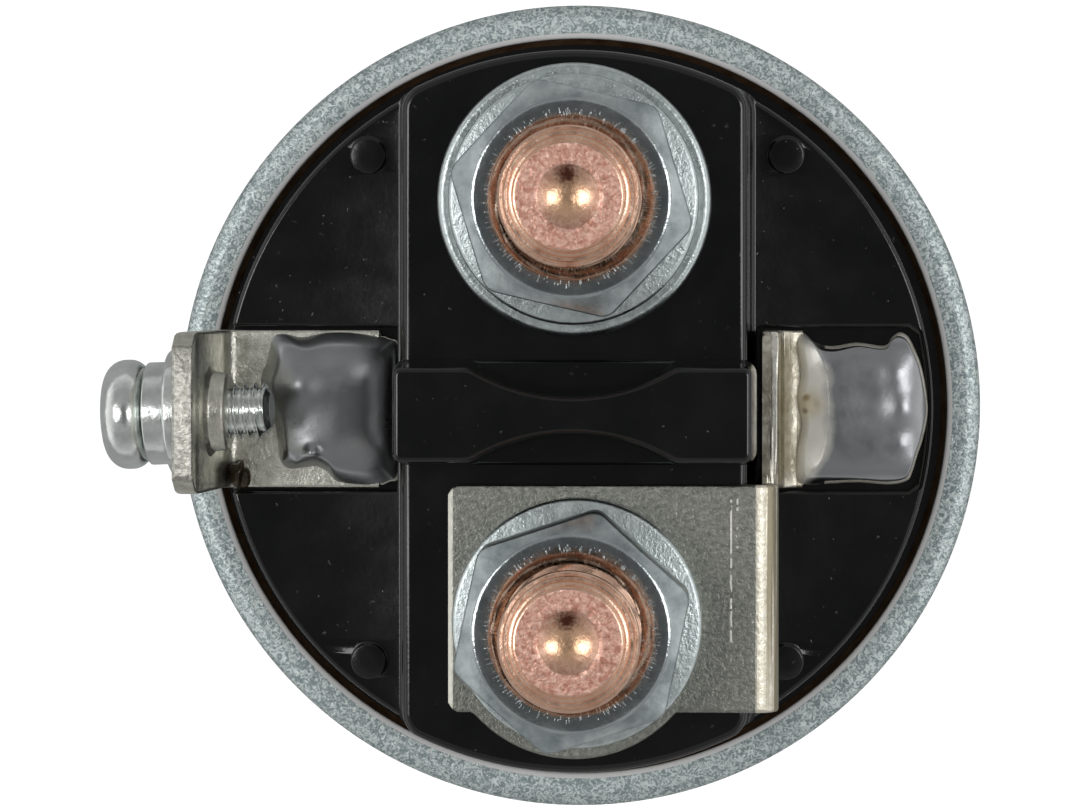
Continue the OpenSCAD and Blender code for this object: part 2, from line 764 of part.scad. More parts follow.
// Strap part that lies on the slab, seen along the axis
module strap_flange() {
    difference() {
        union() {
            difference() {
                translate([-strap_left, strap_y0])
                    square([strap_left + leg_in - strap_bend_r, strap_y1 - strap_y0]);
                for (corner = [strap_y0, strap_y1]) translate([-strap_left, corner])
                    mirror([1, 0]) mirror([0, corner == strap_y0 ? 1 : 0])
                        corner_cut(strap_corner);
            }
            translate([0, -stud_y]) circle(strap_lobe_r);
        }
        translate([0, -stud_y]) circle(stud_r + washer_hole_gap);
    }
}

module motor_strap() color([0.72, 0.70, 0.63]) {
    leg_top = slab_z - strap_bend_r;
    difference() {
        union() {
            translate([0, 0, slab_z]) linear_extrude(strap_t) strap_flange();
            translate([leg_in - strap_bend_r, strap_y1, leg_top]) rotate([90, 0, 0])
                linear_extrude(strap_y1 - strap_y0)
                    bend_band(strap_bend_r, strap_bend_r + strap_t, 0, 90);
            translate([leg_in, 0, 0]) rotate([90, 0, 90]) linear_extrude(strap_t) polygon([
                [strap_y0, leg_top], [strap_y0, foot_bend_z + leg_low],
                [-foot_w / 2 - leg_step, foot_bend_z + leg_low], [-foot_w / 2, foot_bend_z],
                [foot_w / 2, foot_bend_z], [foot_w / 2, leg_top - leg_drop],
                [strap_y1, leg_top - leg_drop], [strap_y1, leg_top]]);
            translate([foot_bend_x, 0, foot_bend_z]) rotate([90, 0, 0])
                linear_extrude(foot_w, center = true)
                    bend_band(foot_bend_r, foot_bend_r + strap_t, 180, 270);
            translate([0, 0, pocket_z]) linear_extrude(strap_t) intersection() {
                translate([foot_bend_x, -foot_w / 2]) square([cap_r, foot_w]);
                circle(pocket_r - foot_gap);
            }
        }
        translate([lead_x, 0, pocket_z - overrun])
            cylinder(r = lead_r + lead_gap, h = strap_t + 2 * overrun);
    }
}

// Frame of the switch terminal's post: +X points out through the post and +Z up it
module at_post() {
    mirror([1, 0, 0]) translate([bend_x, 0, bend_z]) rotate([0, post_lean, 0]) children();
}

// Frame of the switch screw: +Z points out along the screw to its head
module at_screw() {
    at_post() translate([0, 0, screw_h]) rotate([0, 90, 0]) children();
}

module switch_terminal() color([0.74, 0.72, 0.66]) difference() {
    union() {
        mirror([1, 0, 0]) translate([bend_x, 0, bend_z]) rotate([90, 0, 0])
            linear_extrude(bracket_w, center = true) {
                translate([base_in - bend_x, -post_out])
                    square([bend_x - base_in, bracket_t]);
                bend_band(post_bend_r, post_out, -90, -post_lean);
                rotate(-post_lean) translate([post_bend_r, 0]) square([bracket_t, post_len]);
            }
        at_screw() translate([0, 0, post_bend_r - collar_h])
            cylinder(d = collar_d, h = collar_h + bracket_t / 2);
    }
    for (side = [0, 1]) at_post() mirror([0, side, 0])
        translate([post_bend_r - overrun, bracket_w / 2, post_len]) rotate([90, 0, 90])
            linear_extrude(bracket_t + 2 * overrun)
                polygon([[-post_corner_w, 0], [0, -post_corner_h], [overrun, -post_corner_h],
                    [overrun, overrun], [-post_corner_w, overrun]]);
    at_screw() translate([0, 0, post_bend_r - collar_h - overrun])
        cylinder(r = screw_pitch_r, h = collar_h + bracket_t + 2 * overrun);
    translate([-lead_x, 0, pocket_z - overrun])
        cylinder(r = lead_r + lead_gap, h = bracket_t + 2 * overrun);
}

module switch_screw() color("silver") at_screw() difference() {
    union() {
        rotate_extrude() polygon([[0, screw_end], [screw_r - screw_chamfer, screw_end],
            [screw_r, screw_end + screw_chamfer], [screw_r, post_bend_r - collar_h],
            [screw_pitch_r, post_bend_r - collar_h], [screw_pitch_r, post_out],
            [screw_r, post_out], [screw_r, screw_seat + overrun], [0, screw_seat + overrun]]);
        translate([0, 0, screw_seat]) rotate_extrude() difference() {
            square([pan_d / 2, pan_h]);
            translate([pan_d / 2, pan_h]) corner_cut(pan_round);
            translate([pan_d / 2, 0]) mirror([0, 1]) corner_cut(pan_back_round);
        }
    }
    for (turn = [0, 90]) rotate(turn)
        translate([-driver_len / 2, -driver_w / 2, screw_seat + pan_h - driver_depth])
            cube([driver_len, driver_w, pan_h]);
}

module switch_lock_washer() color("silver") at_screw() difference() {
    tube(screw_r + screw_clearance, lock_washer_d / 2, post_out + screw_washer_t, screw_seat);
    translate([0, -split_w / 2, post_out]) cube([lock_washer_d, split_w, screw_seat]);
}

module switch_flat_washer() color("silver") at_screw()
    tube(screw_r + screw_clearance, screw_washer_d / 2, post_out, post_out + screw_washer_t);

// Crowned pad of solder on the outline that its children draw
module solder_pad(z0) {
    hull() for (i = [0:len(crown_rise_shares) - 1])
        translate([0, 0, z0 + (solder_h - solder_skin) * crown_rise_shares[i]])
            linear_extrude(solder_skin) offset(delta = -solder_h * crown_inset_shares[i], $fn = 32)
                children();
}

module switch_solder() color("lightgray") difference() {
    solder_pad(base_top) translate([-switch_solder_out, -bracket_w / 2])
        square([switch_solder_out - switch_solder_in, bracket_w]);
    translate([-lead_x, 0, base_top - overrun])
        cylinder(r = lead_r, h = lead_in_solder + overrun);
    translate([-slab_foot_x, -pocket_w / 2, pocket_z]) cube([slab_foot_x, pocket_w, slab_rise]);
}

module motor_solder() color("lightgray") difference() {
    solder_pad(foot_top) intersection() {
        translate([motor_solder_in, -foot_w / 2]) square([cap_r, foot_w]);
        circle(pocket_r - foot_gap);
    }
    translate([lead_x, 0, foot_top - overrun])
        cylinder(r = lead_r, h = lead_in_solder + overrun);
}

module push_rod() color("silver") rotate_extrude() polygon([[0, rod_bottom],
    [rod_r, rod_bottom], [rod_r, rod_collar_z], [rod_collar_r, rod_collar_z],
    [rod_collar_r, pressure_z], [rod_r, pressure_z], [rod_r, clip_z],
    [rod_tip_r - clip_groove / 2, clip_z], [rod_tip_r - clip_groove / 2, return_z],
    [rod_tip_r, return_z], [rod_tip_r, rod_top], [0, rod_top]]);

module contact_disc() color([0.86, 0.55, 0.42]) rotate_extrude() difference() {
    translate([bush_r + bush_gap, disc_z]) square([disc_r - bush_r - bush_gap, disc_t]);
    translate([disc_r, disc_top]) corner_cut(disc_round);
    translate([disc_r, disc_z]) mirror([0, 1]) corner_cut(disc_round);
}

module lower_insulator() color("saddlebrown") rotate_extrude() polygon([
    [rod_r, lower_flange_z], [insulator_r, lower_flange_z], [insulator_r, disc_z],
    [bush_r, disc_z], [bush_r, disc_top], [rod_r, disc_top]]);

module upper_insulator() color("saddlebrown") tube(rod_r, insulator_r, disc_top, clip_z);

module rod_clip() color("silver") difference() {
    tube(rod_tip_r - clip_groove / 2, rod_clip_r, clip_z, return_z);
    translate([0, -rod_tip_r / 2, clip_z - overrun])
        cube([rod_clip_r + overrun, rod_tip_r, rod_clip_t + 2 * overrun]);
}

module contact_pressure_spring() color("gray") coil_spring("contact pressure spring",
    pressure_z, lower_flange_z, pressure_turns, pressure_spring_r, pressure_wire_d);

module contact_return_spring() color("gray") coil_spring("contact return spring",
    return_z, spring_pocket_z, return_turns, return_spring_r, return_wire_d);

module plunger() color("slategray") rotate_extrude() polygon([
    [shank_r, stub_end], [stub_r, stub_end], [stub_r, cup_z - cup_t - seat_clip_t - clip_gap],
    [stub_r - clip_seat, cup_z - cup_t - seat_clip_t - clip_gap],
    [stub_r - clip_seat, cup_z - cup_t], [stub_r, cup_z - cup_t], [stub_r, cup_z],
    [plunger_r, cup_z], [plunger_r, plunger_top - plunger_chamfer],
    [plunger_r - plunger_chamfer, plunger_top], [0, plunger_top], [0, stub_end + shank_h],
    [shank_r, stub_end + shank_h]]);

module plunger_spring() color("darkgray") coil_spring("plunger spring",
    cup_z, -pilot_h, plunger_turns, plunger_spring_r, plunger_wire_d);

module spring_seat() color("gray") rotate_extrude() difference() {
    translate([0, cup_z - cup_t]) square([cup_r, cup_t + cup_rim_h]);
    translate([cup_r, cup_z - cup_t]) mirror([0, 1]) corner_cut(cup_round);
    translate([0, cup_z]) square([cup_r - cup_t, cup_rim_h + overrun]);
    translate([0, cup_z - cup_t - overrun]) square([stub_r + stub_gap, cup_t + 2 * overrun]);
}

module seat_clip() color("gray") difference() {
    tube(stub_r - clip_seat, stub_r + clip_wrap, cup_z - cup_t - seat_clip_t, cup_z - cup_t);
    translate([0, -clip_mouth / 2, cup_z - cup_t - seat_clip_t - overrun])
        cube([stub_r + clip_wrap + overrun, clip_mouth, seat_clip_t + 2 * overrun]);
}

// Eye for the tip of the shift lever, with its shank riveted into the plunger
module lever_eye() color("slategray") {
    slot_r = slot_w / 2;
    slot_z = stub_end - eye_len / 2 - eye_waist;
    straight = (slot_len - slot_w) / 2;
    translate([0, 0, stub_end]) cylinder(r = shank_r, h = shank_h);
    rotate([90, 0, 90]) linear_extrude(eye_t, center = true) difference() {
        translate([-eye_w / 2, stub_end - eye_len]) square([eye_w, eye_len]);
        for (side = [0, 1]) mirror([side, 0]) translate([eye_w / 2, stub_end - eye_len])
            mirror([0, 1]) corner_cut(eye_round);
        for (end = [-1, 1]) translate([0, slot_z + end * straight]) circle(slot_r);
        translate([-slot_r, slot_z - straight]) square([slot_w, 2 * straight]);
    }
}

case();
terminal_cap();
cap_gasket();
fixed_core();
plunger_sleeve();
bobbin();
pull_in_winding();
hold_in_winding();
winding_wrap();
switch_lead();
pull_in_lead();
lead_sleeves();
battery_stud();
battery_stud_seal();
battery_flat_washer();
battery_spring_washer();
battery_nut();
motor_stud();
motor_stud_seal();
motor_strap();
motor_spring_washer();
motor_nut();
switch_terminal();
switch_screw();
switch_lock_washer();
switch_flat_washer();
switch_solder();
motor_solder();
push_rod();
contact_disc();
lower_insulator();
upper_insulator();
rod_clip();
contact_pressure_spring();
contact_return_spring();
plunger();
lever_eye();
plunger_spring();
spring_seat();
seat_clip();
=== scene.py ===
import math
import bmesh
import bpy
from mathutils import Matrix, Vector, geometry, noise


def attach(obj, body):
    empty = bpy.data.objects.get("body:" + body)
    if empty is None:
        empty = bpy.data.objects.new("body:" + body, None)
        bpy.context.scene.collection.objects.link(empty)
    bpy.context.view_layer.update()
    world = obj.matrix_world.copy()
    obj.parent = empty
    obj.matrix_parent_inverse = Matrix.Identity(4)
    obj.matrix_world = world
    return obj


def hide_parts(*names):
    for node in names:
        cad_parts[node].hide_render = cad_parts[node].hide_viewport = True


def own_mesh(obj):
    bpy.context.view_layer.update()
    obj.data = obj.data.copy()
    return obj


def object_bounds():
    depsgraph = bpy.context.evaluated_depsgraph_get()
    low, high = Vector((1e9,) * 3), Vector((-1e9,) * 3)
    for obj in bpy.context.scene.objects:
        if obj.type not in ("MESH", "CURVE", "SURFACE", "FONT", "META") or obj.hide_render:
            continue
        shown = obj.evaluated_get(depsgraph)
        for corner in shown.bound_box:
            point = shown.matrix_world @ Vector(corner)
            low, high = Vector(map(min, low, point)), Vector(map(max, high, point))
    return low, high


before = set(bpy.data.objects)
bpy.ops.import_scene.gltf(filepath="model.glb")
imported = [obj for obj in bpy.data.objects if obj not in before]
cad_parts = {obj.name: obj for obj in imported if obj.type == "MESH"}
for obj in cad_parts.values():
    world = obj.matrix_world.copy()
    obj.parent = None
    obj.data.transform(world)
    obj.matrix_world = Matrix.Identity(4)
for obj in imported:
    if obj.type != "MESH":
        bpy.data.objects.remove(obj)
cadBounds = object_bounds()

# Starter solenoid relay seen on its terminal cap. Sizes are millimetres, turned into metres by meshObject.
print("frame loaded:", len(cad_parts), "nodes")
mm = 0.001
margin = 0.06  # from a rounded edge to the extra point on its flat, where smooth shading stops
studY = 15.0  # the battery stud stands at plus and the motor stud at minus this
scene = bpy.context.scene


def aim(degrees):
    # cosine and sine
    return math.cos(math.radians(degrees)), math.sin(math.radians(degrees))


def fullTurn(steps):
    return [2 * math.pi * k / steps for k in range(steps)]


def filletPath(corners, segments=5, support=margin):
    # corners are (x, y, radius) round a closed outline; each fillet gets a point on both its flats
    path = []
    for i, (x, y, radius) in enumerate(corners):
        here = Vector((x, y))
        if radius <= 0:
            path.append((x, y))
            continue
        before = Vector(corners[i - 1][:2]) - here
        after = Vector(corners[(i + 1) % len(corners)][:2]) - here
        before.normalize()
        after.normalize()
        half = before.angle(after) / 2
        reach = radius / math.tan(half)
        centre = here + (before + after).normalized() * radius / math.sin(half)
        start = here + before * reach - centre
        turn = start.angle_signed(here + after * reach - centre)
        path.append(tuple(here + before * (reach + support)))
        for k in range(segments + 1):
            spin = Matrix.Rotation(-turn * k / segments, 2)
            path.append(tuple(centre + spin @ start))
        path.append(tuple(here + after * (reach + support)))
    return path


def insetLoop(loop, distance):
    # moves each point of an anticlockwise loop inwards, or of a clockwise loop outwards
    if abs(distance) < 1e-9:
        return list(loop)
    moved = []
    count = len(loop)
    for i in range(count):
        a, b, c = Vector(loop[i - 1]), Vector(loop[i]), Vector(loop[(i + 1) % count])
        n1 = Vector((-(b - a).y, (b - a).x))
        n2 = Vector((-(c - b).y, (c - b).x))
        n1 = n1.normalized() if n1.length > 1e-9 else n2.normalized()
        n2 = n2.normalized() if n2.length > 1e-9 else n1
        mid = (n1 + n2).normalized()
        moved.append(tuple(b + mid * distance / max(mid.dot(n1), 0.5)))
    return moved


def quarterRound(radius, angles=(0, 22, 45, 68, 90)):
    # points of a rounded edge: how far under the flat, and how far in from the wall
    return [(radius * (1 - sine), radius * (1 - cosine)) for cosine, sine in map(aim, angles)]


def roundedTop(top, radius, inset=0.0, angles=(0, 22, 45, 68, 90)):
    # last layers, (height, inset), of a wall with a rounded upper edge
    layers = [(top - fall, inset + inward) for fall, inward in quarterRound(radius, angles)]
    return layers + [(top, inset + radius + margin)]


def roundedLayers(z0, z1, topRound, bottomRound=0.0):
    # layers of an upright wall whose upper edge, and lower one where asked, are rounded
    angles = (0, 22.5, 45, 67.5, 90)
    layers = [(z0, 0.0)]
    if bottomRound > 0:
        layers = [(z0, bottomRound + margin)]
        layers += [(z0 + inward, fall) for fall, inward in quarterRound(bottomRound, angles)]
        layers.append((z0 + bottomRound + margin, 0.0))
    return layers + [(z1 - topRound - margin, 0.0)] + roundedTop(z1, topRound, angles=angles)


def loftRings(rings, closed=False, capped=True):
    # shell through rings of equal count; its ends are capped unless it closes on itself
    count = len(rings[0])
    verts = [p for ring in rings for p in ring]
    faces = []
    for row in range(len(rings) if closed else len(rings) - 1):
        low, high = row * count, (row + 1) % len(rings) * count
        for i in range(count):
            j = (i + 1) % count
            faces.append((low + i, low + j, high + j, high + i))
    if capped and not closed:
        faces += [tuple(range(count)), tuple(range(len(verts) - count, len(verts)))]
    return verts, faces


def layeredShell(outlineAt, layers, capped=True):
    return loftRings([[(x, y, z) for x, y in outlineAt(inset)] for z, inset in layers], capped=capped)


def joinShells(*shells):
    verts, faces = [], []
    for v, f in shells:
        shift = len(verts)
        verts += list(v)
        faces += [tuple(i + shift for i in face) for face in f]
    return verts, faces


def stackLoops(loops, layers):
    # closed shell from an outer loop and its holes, carried up through the layers
    walls = [layeredShell(lambda inset: insetLoop(loop, inset), layers, capped=False) for loop in loops]
    verts, faces = joinShells(*walls)
    for row in (0, len(layers) - 1):
        inset = layers[row][1]
        index = []
        first = 0
        for loop in loops:
            index += range(first + row * len(loop), first + (row + 1) * len(loop))
            first += len(loop) * len(layers)
        rings = [[Vector((x, y, 0)) for x, y in insetLoop(loop, inset)] for loop in loops]
        faces += [tuple(index[k] for k in tri) for tri in geometry.tessellate_polygon(rings)]
    return verts, faces


def circleRing(radius, z, steps, centre=(0, 0)):
    return [(centre[0] + radius * math.cos(a), centre[1] + radius * math.sin(a), z) for a in fullTurn(steps)]


def discStack(levels, centre=(0, 0), steps=96):
    # solid of revolution from the axis: levels are (radius, height) from end to end
    return loftRings([circleRing(r, z, steps, centre) for r, z in levels])


def pin(radius, z0, z1, centre=(0, 0), steps=64):
    return discStack([(radius, z0), (radius, z1)], centre, steps)


def revolve(path, centre=(0, 0), steps=144, gap=None):
    # path is a closed loop of (radius, height), clear of the axis; gap is (first angle, degrees left open)
    turn = fullTurn(steps)
    if gap:
        turn = [math.radians(gap[0] + (360 - gap[1]) * k / steps) for k in range(steps + 1)]
    rings = [[(centre[0] + r * math.cos(a), centre[1] + r * math.sin(a), z) for r, z in path] for a in turn]
    return loftRings(rings, closed=not gap)


def washerPath(s, segments=5):
    # section of a washer, whose bore stands higher by its dish; rounds run from the bore's foot outwards
    low, high = s["bottom"], s["bottom"] + s["thickness"]
    dish = s.get("dish", 0)
    sides = [(s["inner"], low + dish), (s["outer"], low), (s["outer"], high), (s["inner"], high + dish)]
    return filletPath([(r, z, radius) for (r, z), radius in zip(sides, s["rounds"])], segments)


def placeShell(shell, matrix):
    return [tuple(matrix @ Vector(p)) for p in shell[0]], shell[1]


def meshObject(name, shell, sharpAngle=38):
    mesh = bpy.data.meshes.new(name)
    mesh.from_pydata([(x * mm, y * mm, z * mm) for x, y, z in shell[0]], [], shell[1])
    edit = bmesh.new()
    edit.from_mesh(mesh)
    bmesh.ops.remove_doubles(edit, verts=edit.verts, dist=1e-7)
    bmesh.ops.dissolve_degenerate(edit, edges=edit.edges, dist=1e-7)
    bmesh.ops.recalc_face_normals(edit, faces=edit.faces)
    edit.to_mesh(mesh)
    edit.free()
    mesh.shade_smooth()
    mesh.set_sharp_from_angle(angle=math.radians(sharpAngle))
    obj = bpy.data.objects.new(name, mesh)
    scene.collection.objects.link(obj)
    return obj


def dressPiece(obj, replaced, slotName, *finishNames, body="housing"):
    obj.data.materials.clear()
    for finishName in finishNames:
        obj.data.materials.append(finish[finishName])
    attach(obj, body)
    if replaced:
        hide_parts(replaced)


def addPiece(name, shell, replaced, slotName, *finishNames, body="housing", sharpAngle=38):
    obj = meshObject(name, shell, sharpAngle)
    dressPiece(obj, replaced, slotName, *finishNames, body=body)
    return obj


def paintFaces(obj, indexAt):
    # material of each face, from the face and its centre in millimetres
    for face in obj.data.polygons:
        face.material_index = indexAt(face, *(face.center / mm))


def cutWith(obj, shells, operation="DIFFERENCE", sharpAngle=38):
    # exact boolean with each shell in turn, applied at once
    for shell in shells:
        tool = meshObject("tool", shell)
        step = obj.modifiers.new("step", "BOOLEAN")
        step.operation = operation
        step.solver = "EXACT"
        step.object = tool
        done = bpy.data.meshes.new_from_object(obj.evaluated_get(bpy.context.evaluated_depsgraph_get()))
        obj.modifiers.clear()
        old = obj.data
        obj.data = done
        bpy.data.meshes.remove(old)
        bpy.data.objects.remove(tool)
    obj.data.shade_smooth()
    obj.data.set_sharp_from_angle(angle=math.radians(sharpAngle))


# finishes

def feed(tree, node, inputs):
    # gives each input, by its name or place, a value or the socket that drives it
    for key, value in inputs.items():
        if isinstance(value, bpy.types.NodeSocket):
            tree.links.new(value, node.inputs[key])
        else:
            node.inputs[key].default_value = value


def addNode(tree, kind, inputs=None, **settings):
    node = tree.nodes.new(kind)
    for key, value in settings.items():
        setattr(node, key, value)
    feed(tree, node, inputs or {})
    return node


def newMaterial(name):
    material = bpy.data.materials.new(name)
    material.use_nodes = True
    return material, material.node_tree, material.node_tree.nodes["Principled BSDF"]


def makeFinish(name, look):
    # colour that drifts, roughness that changes in patches, then marks laid on as bump
    material, tree, shader = newMaterial(name)
    place = addNode(tree, "ShaderNodeTexCoord").outputs["Object"]
    normals = []

    def addNoise(where, scale, detail, **inputs):
        inputs.update(Vector=where, Scale=scale, Detail=detail)
        return addNode(tree, "ShaderNodeTexNoise", inputs).outputs["Fac"]

    def addMath(operation, first, second=0.0):
        return addNode(tree, "ShaderNodeMath", {0: first, 1: second}, operation=operation).outputs[0]

    def addRange(value, low, high, toLow=0.0, toHigh=1.0):
        return addNode(tree, "ShaderNodeMapRange", {"Value": value, "From Min": low, "From Max": high,
                                                    "To Min": toLow, "To Max": toHigh}).outputs["Result"]

    def addSplit(where):
        return addNode(tree, "ShaderNodeSeparateXYZ", {0: where}).outputs[:2]

    def addPolar(centre):
        # distance from an upright axis and angle round it
        axis = (centre[0] * mm, centre[1] * mm, 0)
        away = addNode(tree, "ShaderNodeVectorMath", {0: place, 1: axis}, operation="SUBTRACT")
        x, y = addSplit(away.outputs[0])
        square = addMath("ADD", addMath("POWER", x, 2.0), addMath("POWER", y, 2.0))
        return addMath("SQRT", square), addMath("ARCTAN2", y, x)

    def addBump(height, depth):
        inputs = {"Strength": 1.0, "Distance": depth * mm, "Height": height}
        if normals:
            inputs["Normal"] = normals[-1]
        normals.append(addNode(tree, "ShaderNodeBump", inputs).outputs["Normal"])

    def addTint(colour, factor, tint):
        inputs = {"Factor": factor, 6: colour, 7: (*tint, 1)}
        return addNode(tree, "ShaderNodeMix", inputs, data_type="RGBA").outputs[2]

    def addMarks(colour, mask, s):
        # the mask as bump and, where the marks have a tone, as colour
        addBump(mask, s["depth"])
        return addTint(colour, mask, s["tone"]) if "tone" in s else colour

    metallic = look["metallic"]
    drift = addNoise(place, look["driftScale"], look.get("driftDetail", 5.0), Roughness=0.6,
                     Distortion=look.get("worms", 0.0))
    ramp = addNode(tree, "ShaderNodeValToRGB", {"Fac": drift})
    for element, side, tone in zip(ramp.color_ramp.elements, (-1, 1), (look["dark"], look["light"])):
        element.position = 0.5 + side * look.get("driftSpread", 0.2)
        element.color = (*tone, 1)
    colour = ramp.outputs["Color"]
    patches = addNoise(place, look.get("patchScale", look["driftScale"] * 2.3), 3.0)
    for scale, depth, detail in look["grain"]:
        addBump(addNoise(place, scale, detail, Roughness=0.55), depth)
    if "flecks" in look:  # small spots of another tone
        s = look["flecks"]
        mask = addNoise(place, s["scale"], 2.0, Distortion=s.get("worms", 0.0))
        colour = addMarks(colour, addRange(mask, s["limit"], s["limit"] + 0.07), s)
    if "scratches" in look:  # fine straight marks, noise stretched one way
        s = look["scratches"]
        inputs = {"Vector": place, "Rotation": (0, 0, math.radians(s["turn"])), "Scale": s["stretch"]}
        stretch = addNode(tree, "ShaderNodeMapping", inputs)
        mask = addNoise(stretch.outputs["Vector"], s["scale"], 2.0)
        colour = addMarks(colour, addRange(mask, s["limit"], s["limit"] + 0.08), s)
    if "rings" in look:  # turning marks
        s = look["rings"]
        inputs = {"W": addPolar(s["centre"])[0], "Scale": s["scale"], "Detail": 3.0}
        wave = addNode(tree, "ShaderNodeTexNoise", inputs, noise_dimensions="1D")
        addBump(wave.outputs["Fac"], s["depth"])
    if "strokes" in look:  # short scratches that point at the axis
        s = look["strokes"]
        distance, angle = addPolar(s["centre"])
        polar = addNode(tree, "ShaderNodeCombineXYZ", {0: addMath("MULTIPLY", angle, s["around"]),
                                                       1: addMath("MULTIPLY", distance, s["outwards"])})
        mask = addRange(addNoise(polar.outputs[0], 1.0, 1.0), s["limit"], s["limit"] + 0.05)
        near = addRange(distance, s["far"] * mm, s["near"] * mm)
        colour = addMarks(colour, addMath("MULTIPLY", mask, near), s)
    if "fade" in look:  # a duller tone on the left of a bowed line
        s = look["fade"]
        x, y = addSplit(place)
        bow = addMath("POWER", addMath("ABSOLUTE", addMath("DIVIDE", y, s["half"] * mm)), 3.0)
        wobble = addMath("SUBTRACT", addNoise(place, s["scale"], 3.0), 0.5)
        along = addMath("ADD", x, addMath("MULTIPLY", bow, s["reach"] * mm))
        along = addMath("ADD", along, addMath("MULTIPLY", wobble, s["wobble"] * mm))
        side = addRange(along, (s["at"] + s["soft"]) * mm, (s["at"] - s["soft"]) * mm)
        colour = addTint(colour, side, s["tone"])
        metallic = addRange(side, 0.0, 1.0, metallic, s["metallic"])
    if "spots" in look:  # round spots of another tone, upright through the piece, from flux stains to a painted shade: x, y, core, reach and tone
        ragged = addMath("MULTIPLY", addMath("SUBTRACT", patches, 0.5), mm)
        for x, y, core, reach, tone in look["spots"]:
            distance = addMath("ADD", addPolar((x, y))[0], ragged)
            colour = addTint(colour, addRange(distance, reach * mm, core * mm), tone)
    if "scribe" in look:  # broken lines across a sheet: x, middle y and half length
        s = look["scribe"]
        x, y = addSplit(place)
        dashes = addRange(addNoise(place, s["scale"], 2.0), 0.47, 0.52)
        for lineX, lineY, reach in s["lines"]:
            off = addMath("ABSOLUTE", addMath("SUBTRACT", x, lineX * mm))
            along = addMath("ABSOLUTE", addMath("SUBTRACT", y, lineY * mm))
            line = addMath("MULTIPLY", addRange(off, s["width"] * mm, s["width"] * mm * 0.5),
                           addRange(along, reach * mm, reach * mm * 0.97))
            colour = addMarks(colour, addMath("MULTIPLY", line, dashes), s)
    feed(tree, shader, {"Base Color": colour, "Metallic": metallic, "Normal": normals[-1],
                        "Roughness": addRange(patches, 0.3, 0.7, *look["rough"]),
                        "Specular IOR Level": look.get("specular", 0.5)})
    return material


def makeLook(dark, light, driftScale, rough, grain, **more):
    # grain holds (scale, depth in millimetres, detail); more holds the entries that few finishes have
    return {"metallic": 1.0, "dark": dark, "light": light, "driftScale": driftScale, "rough": rough,
            "grain": grain, **more}


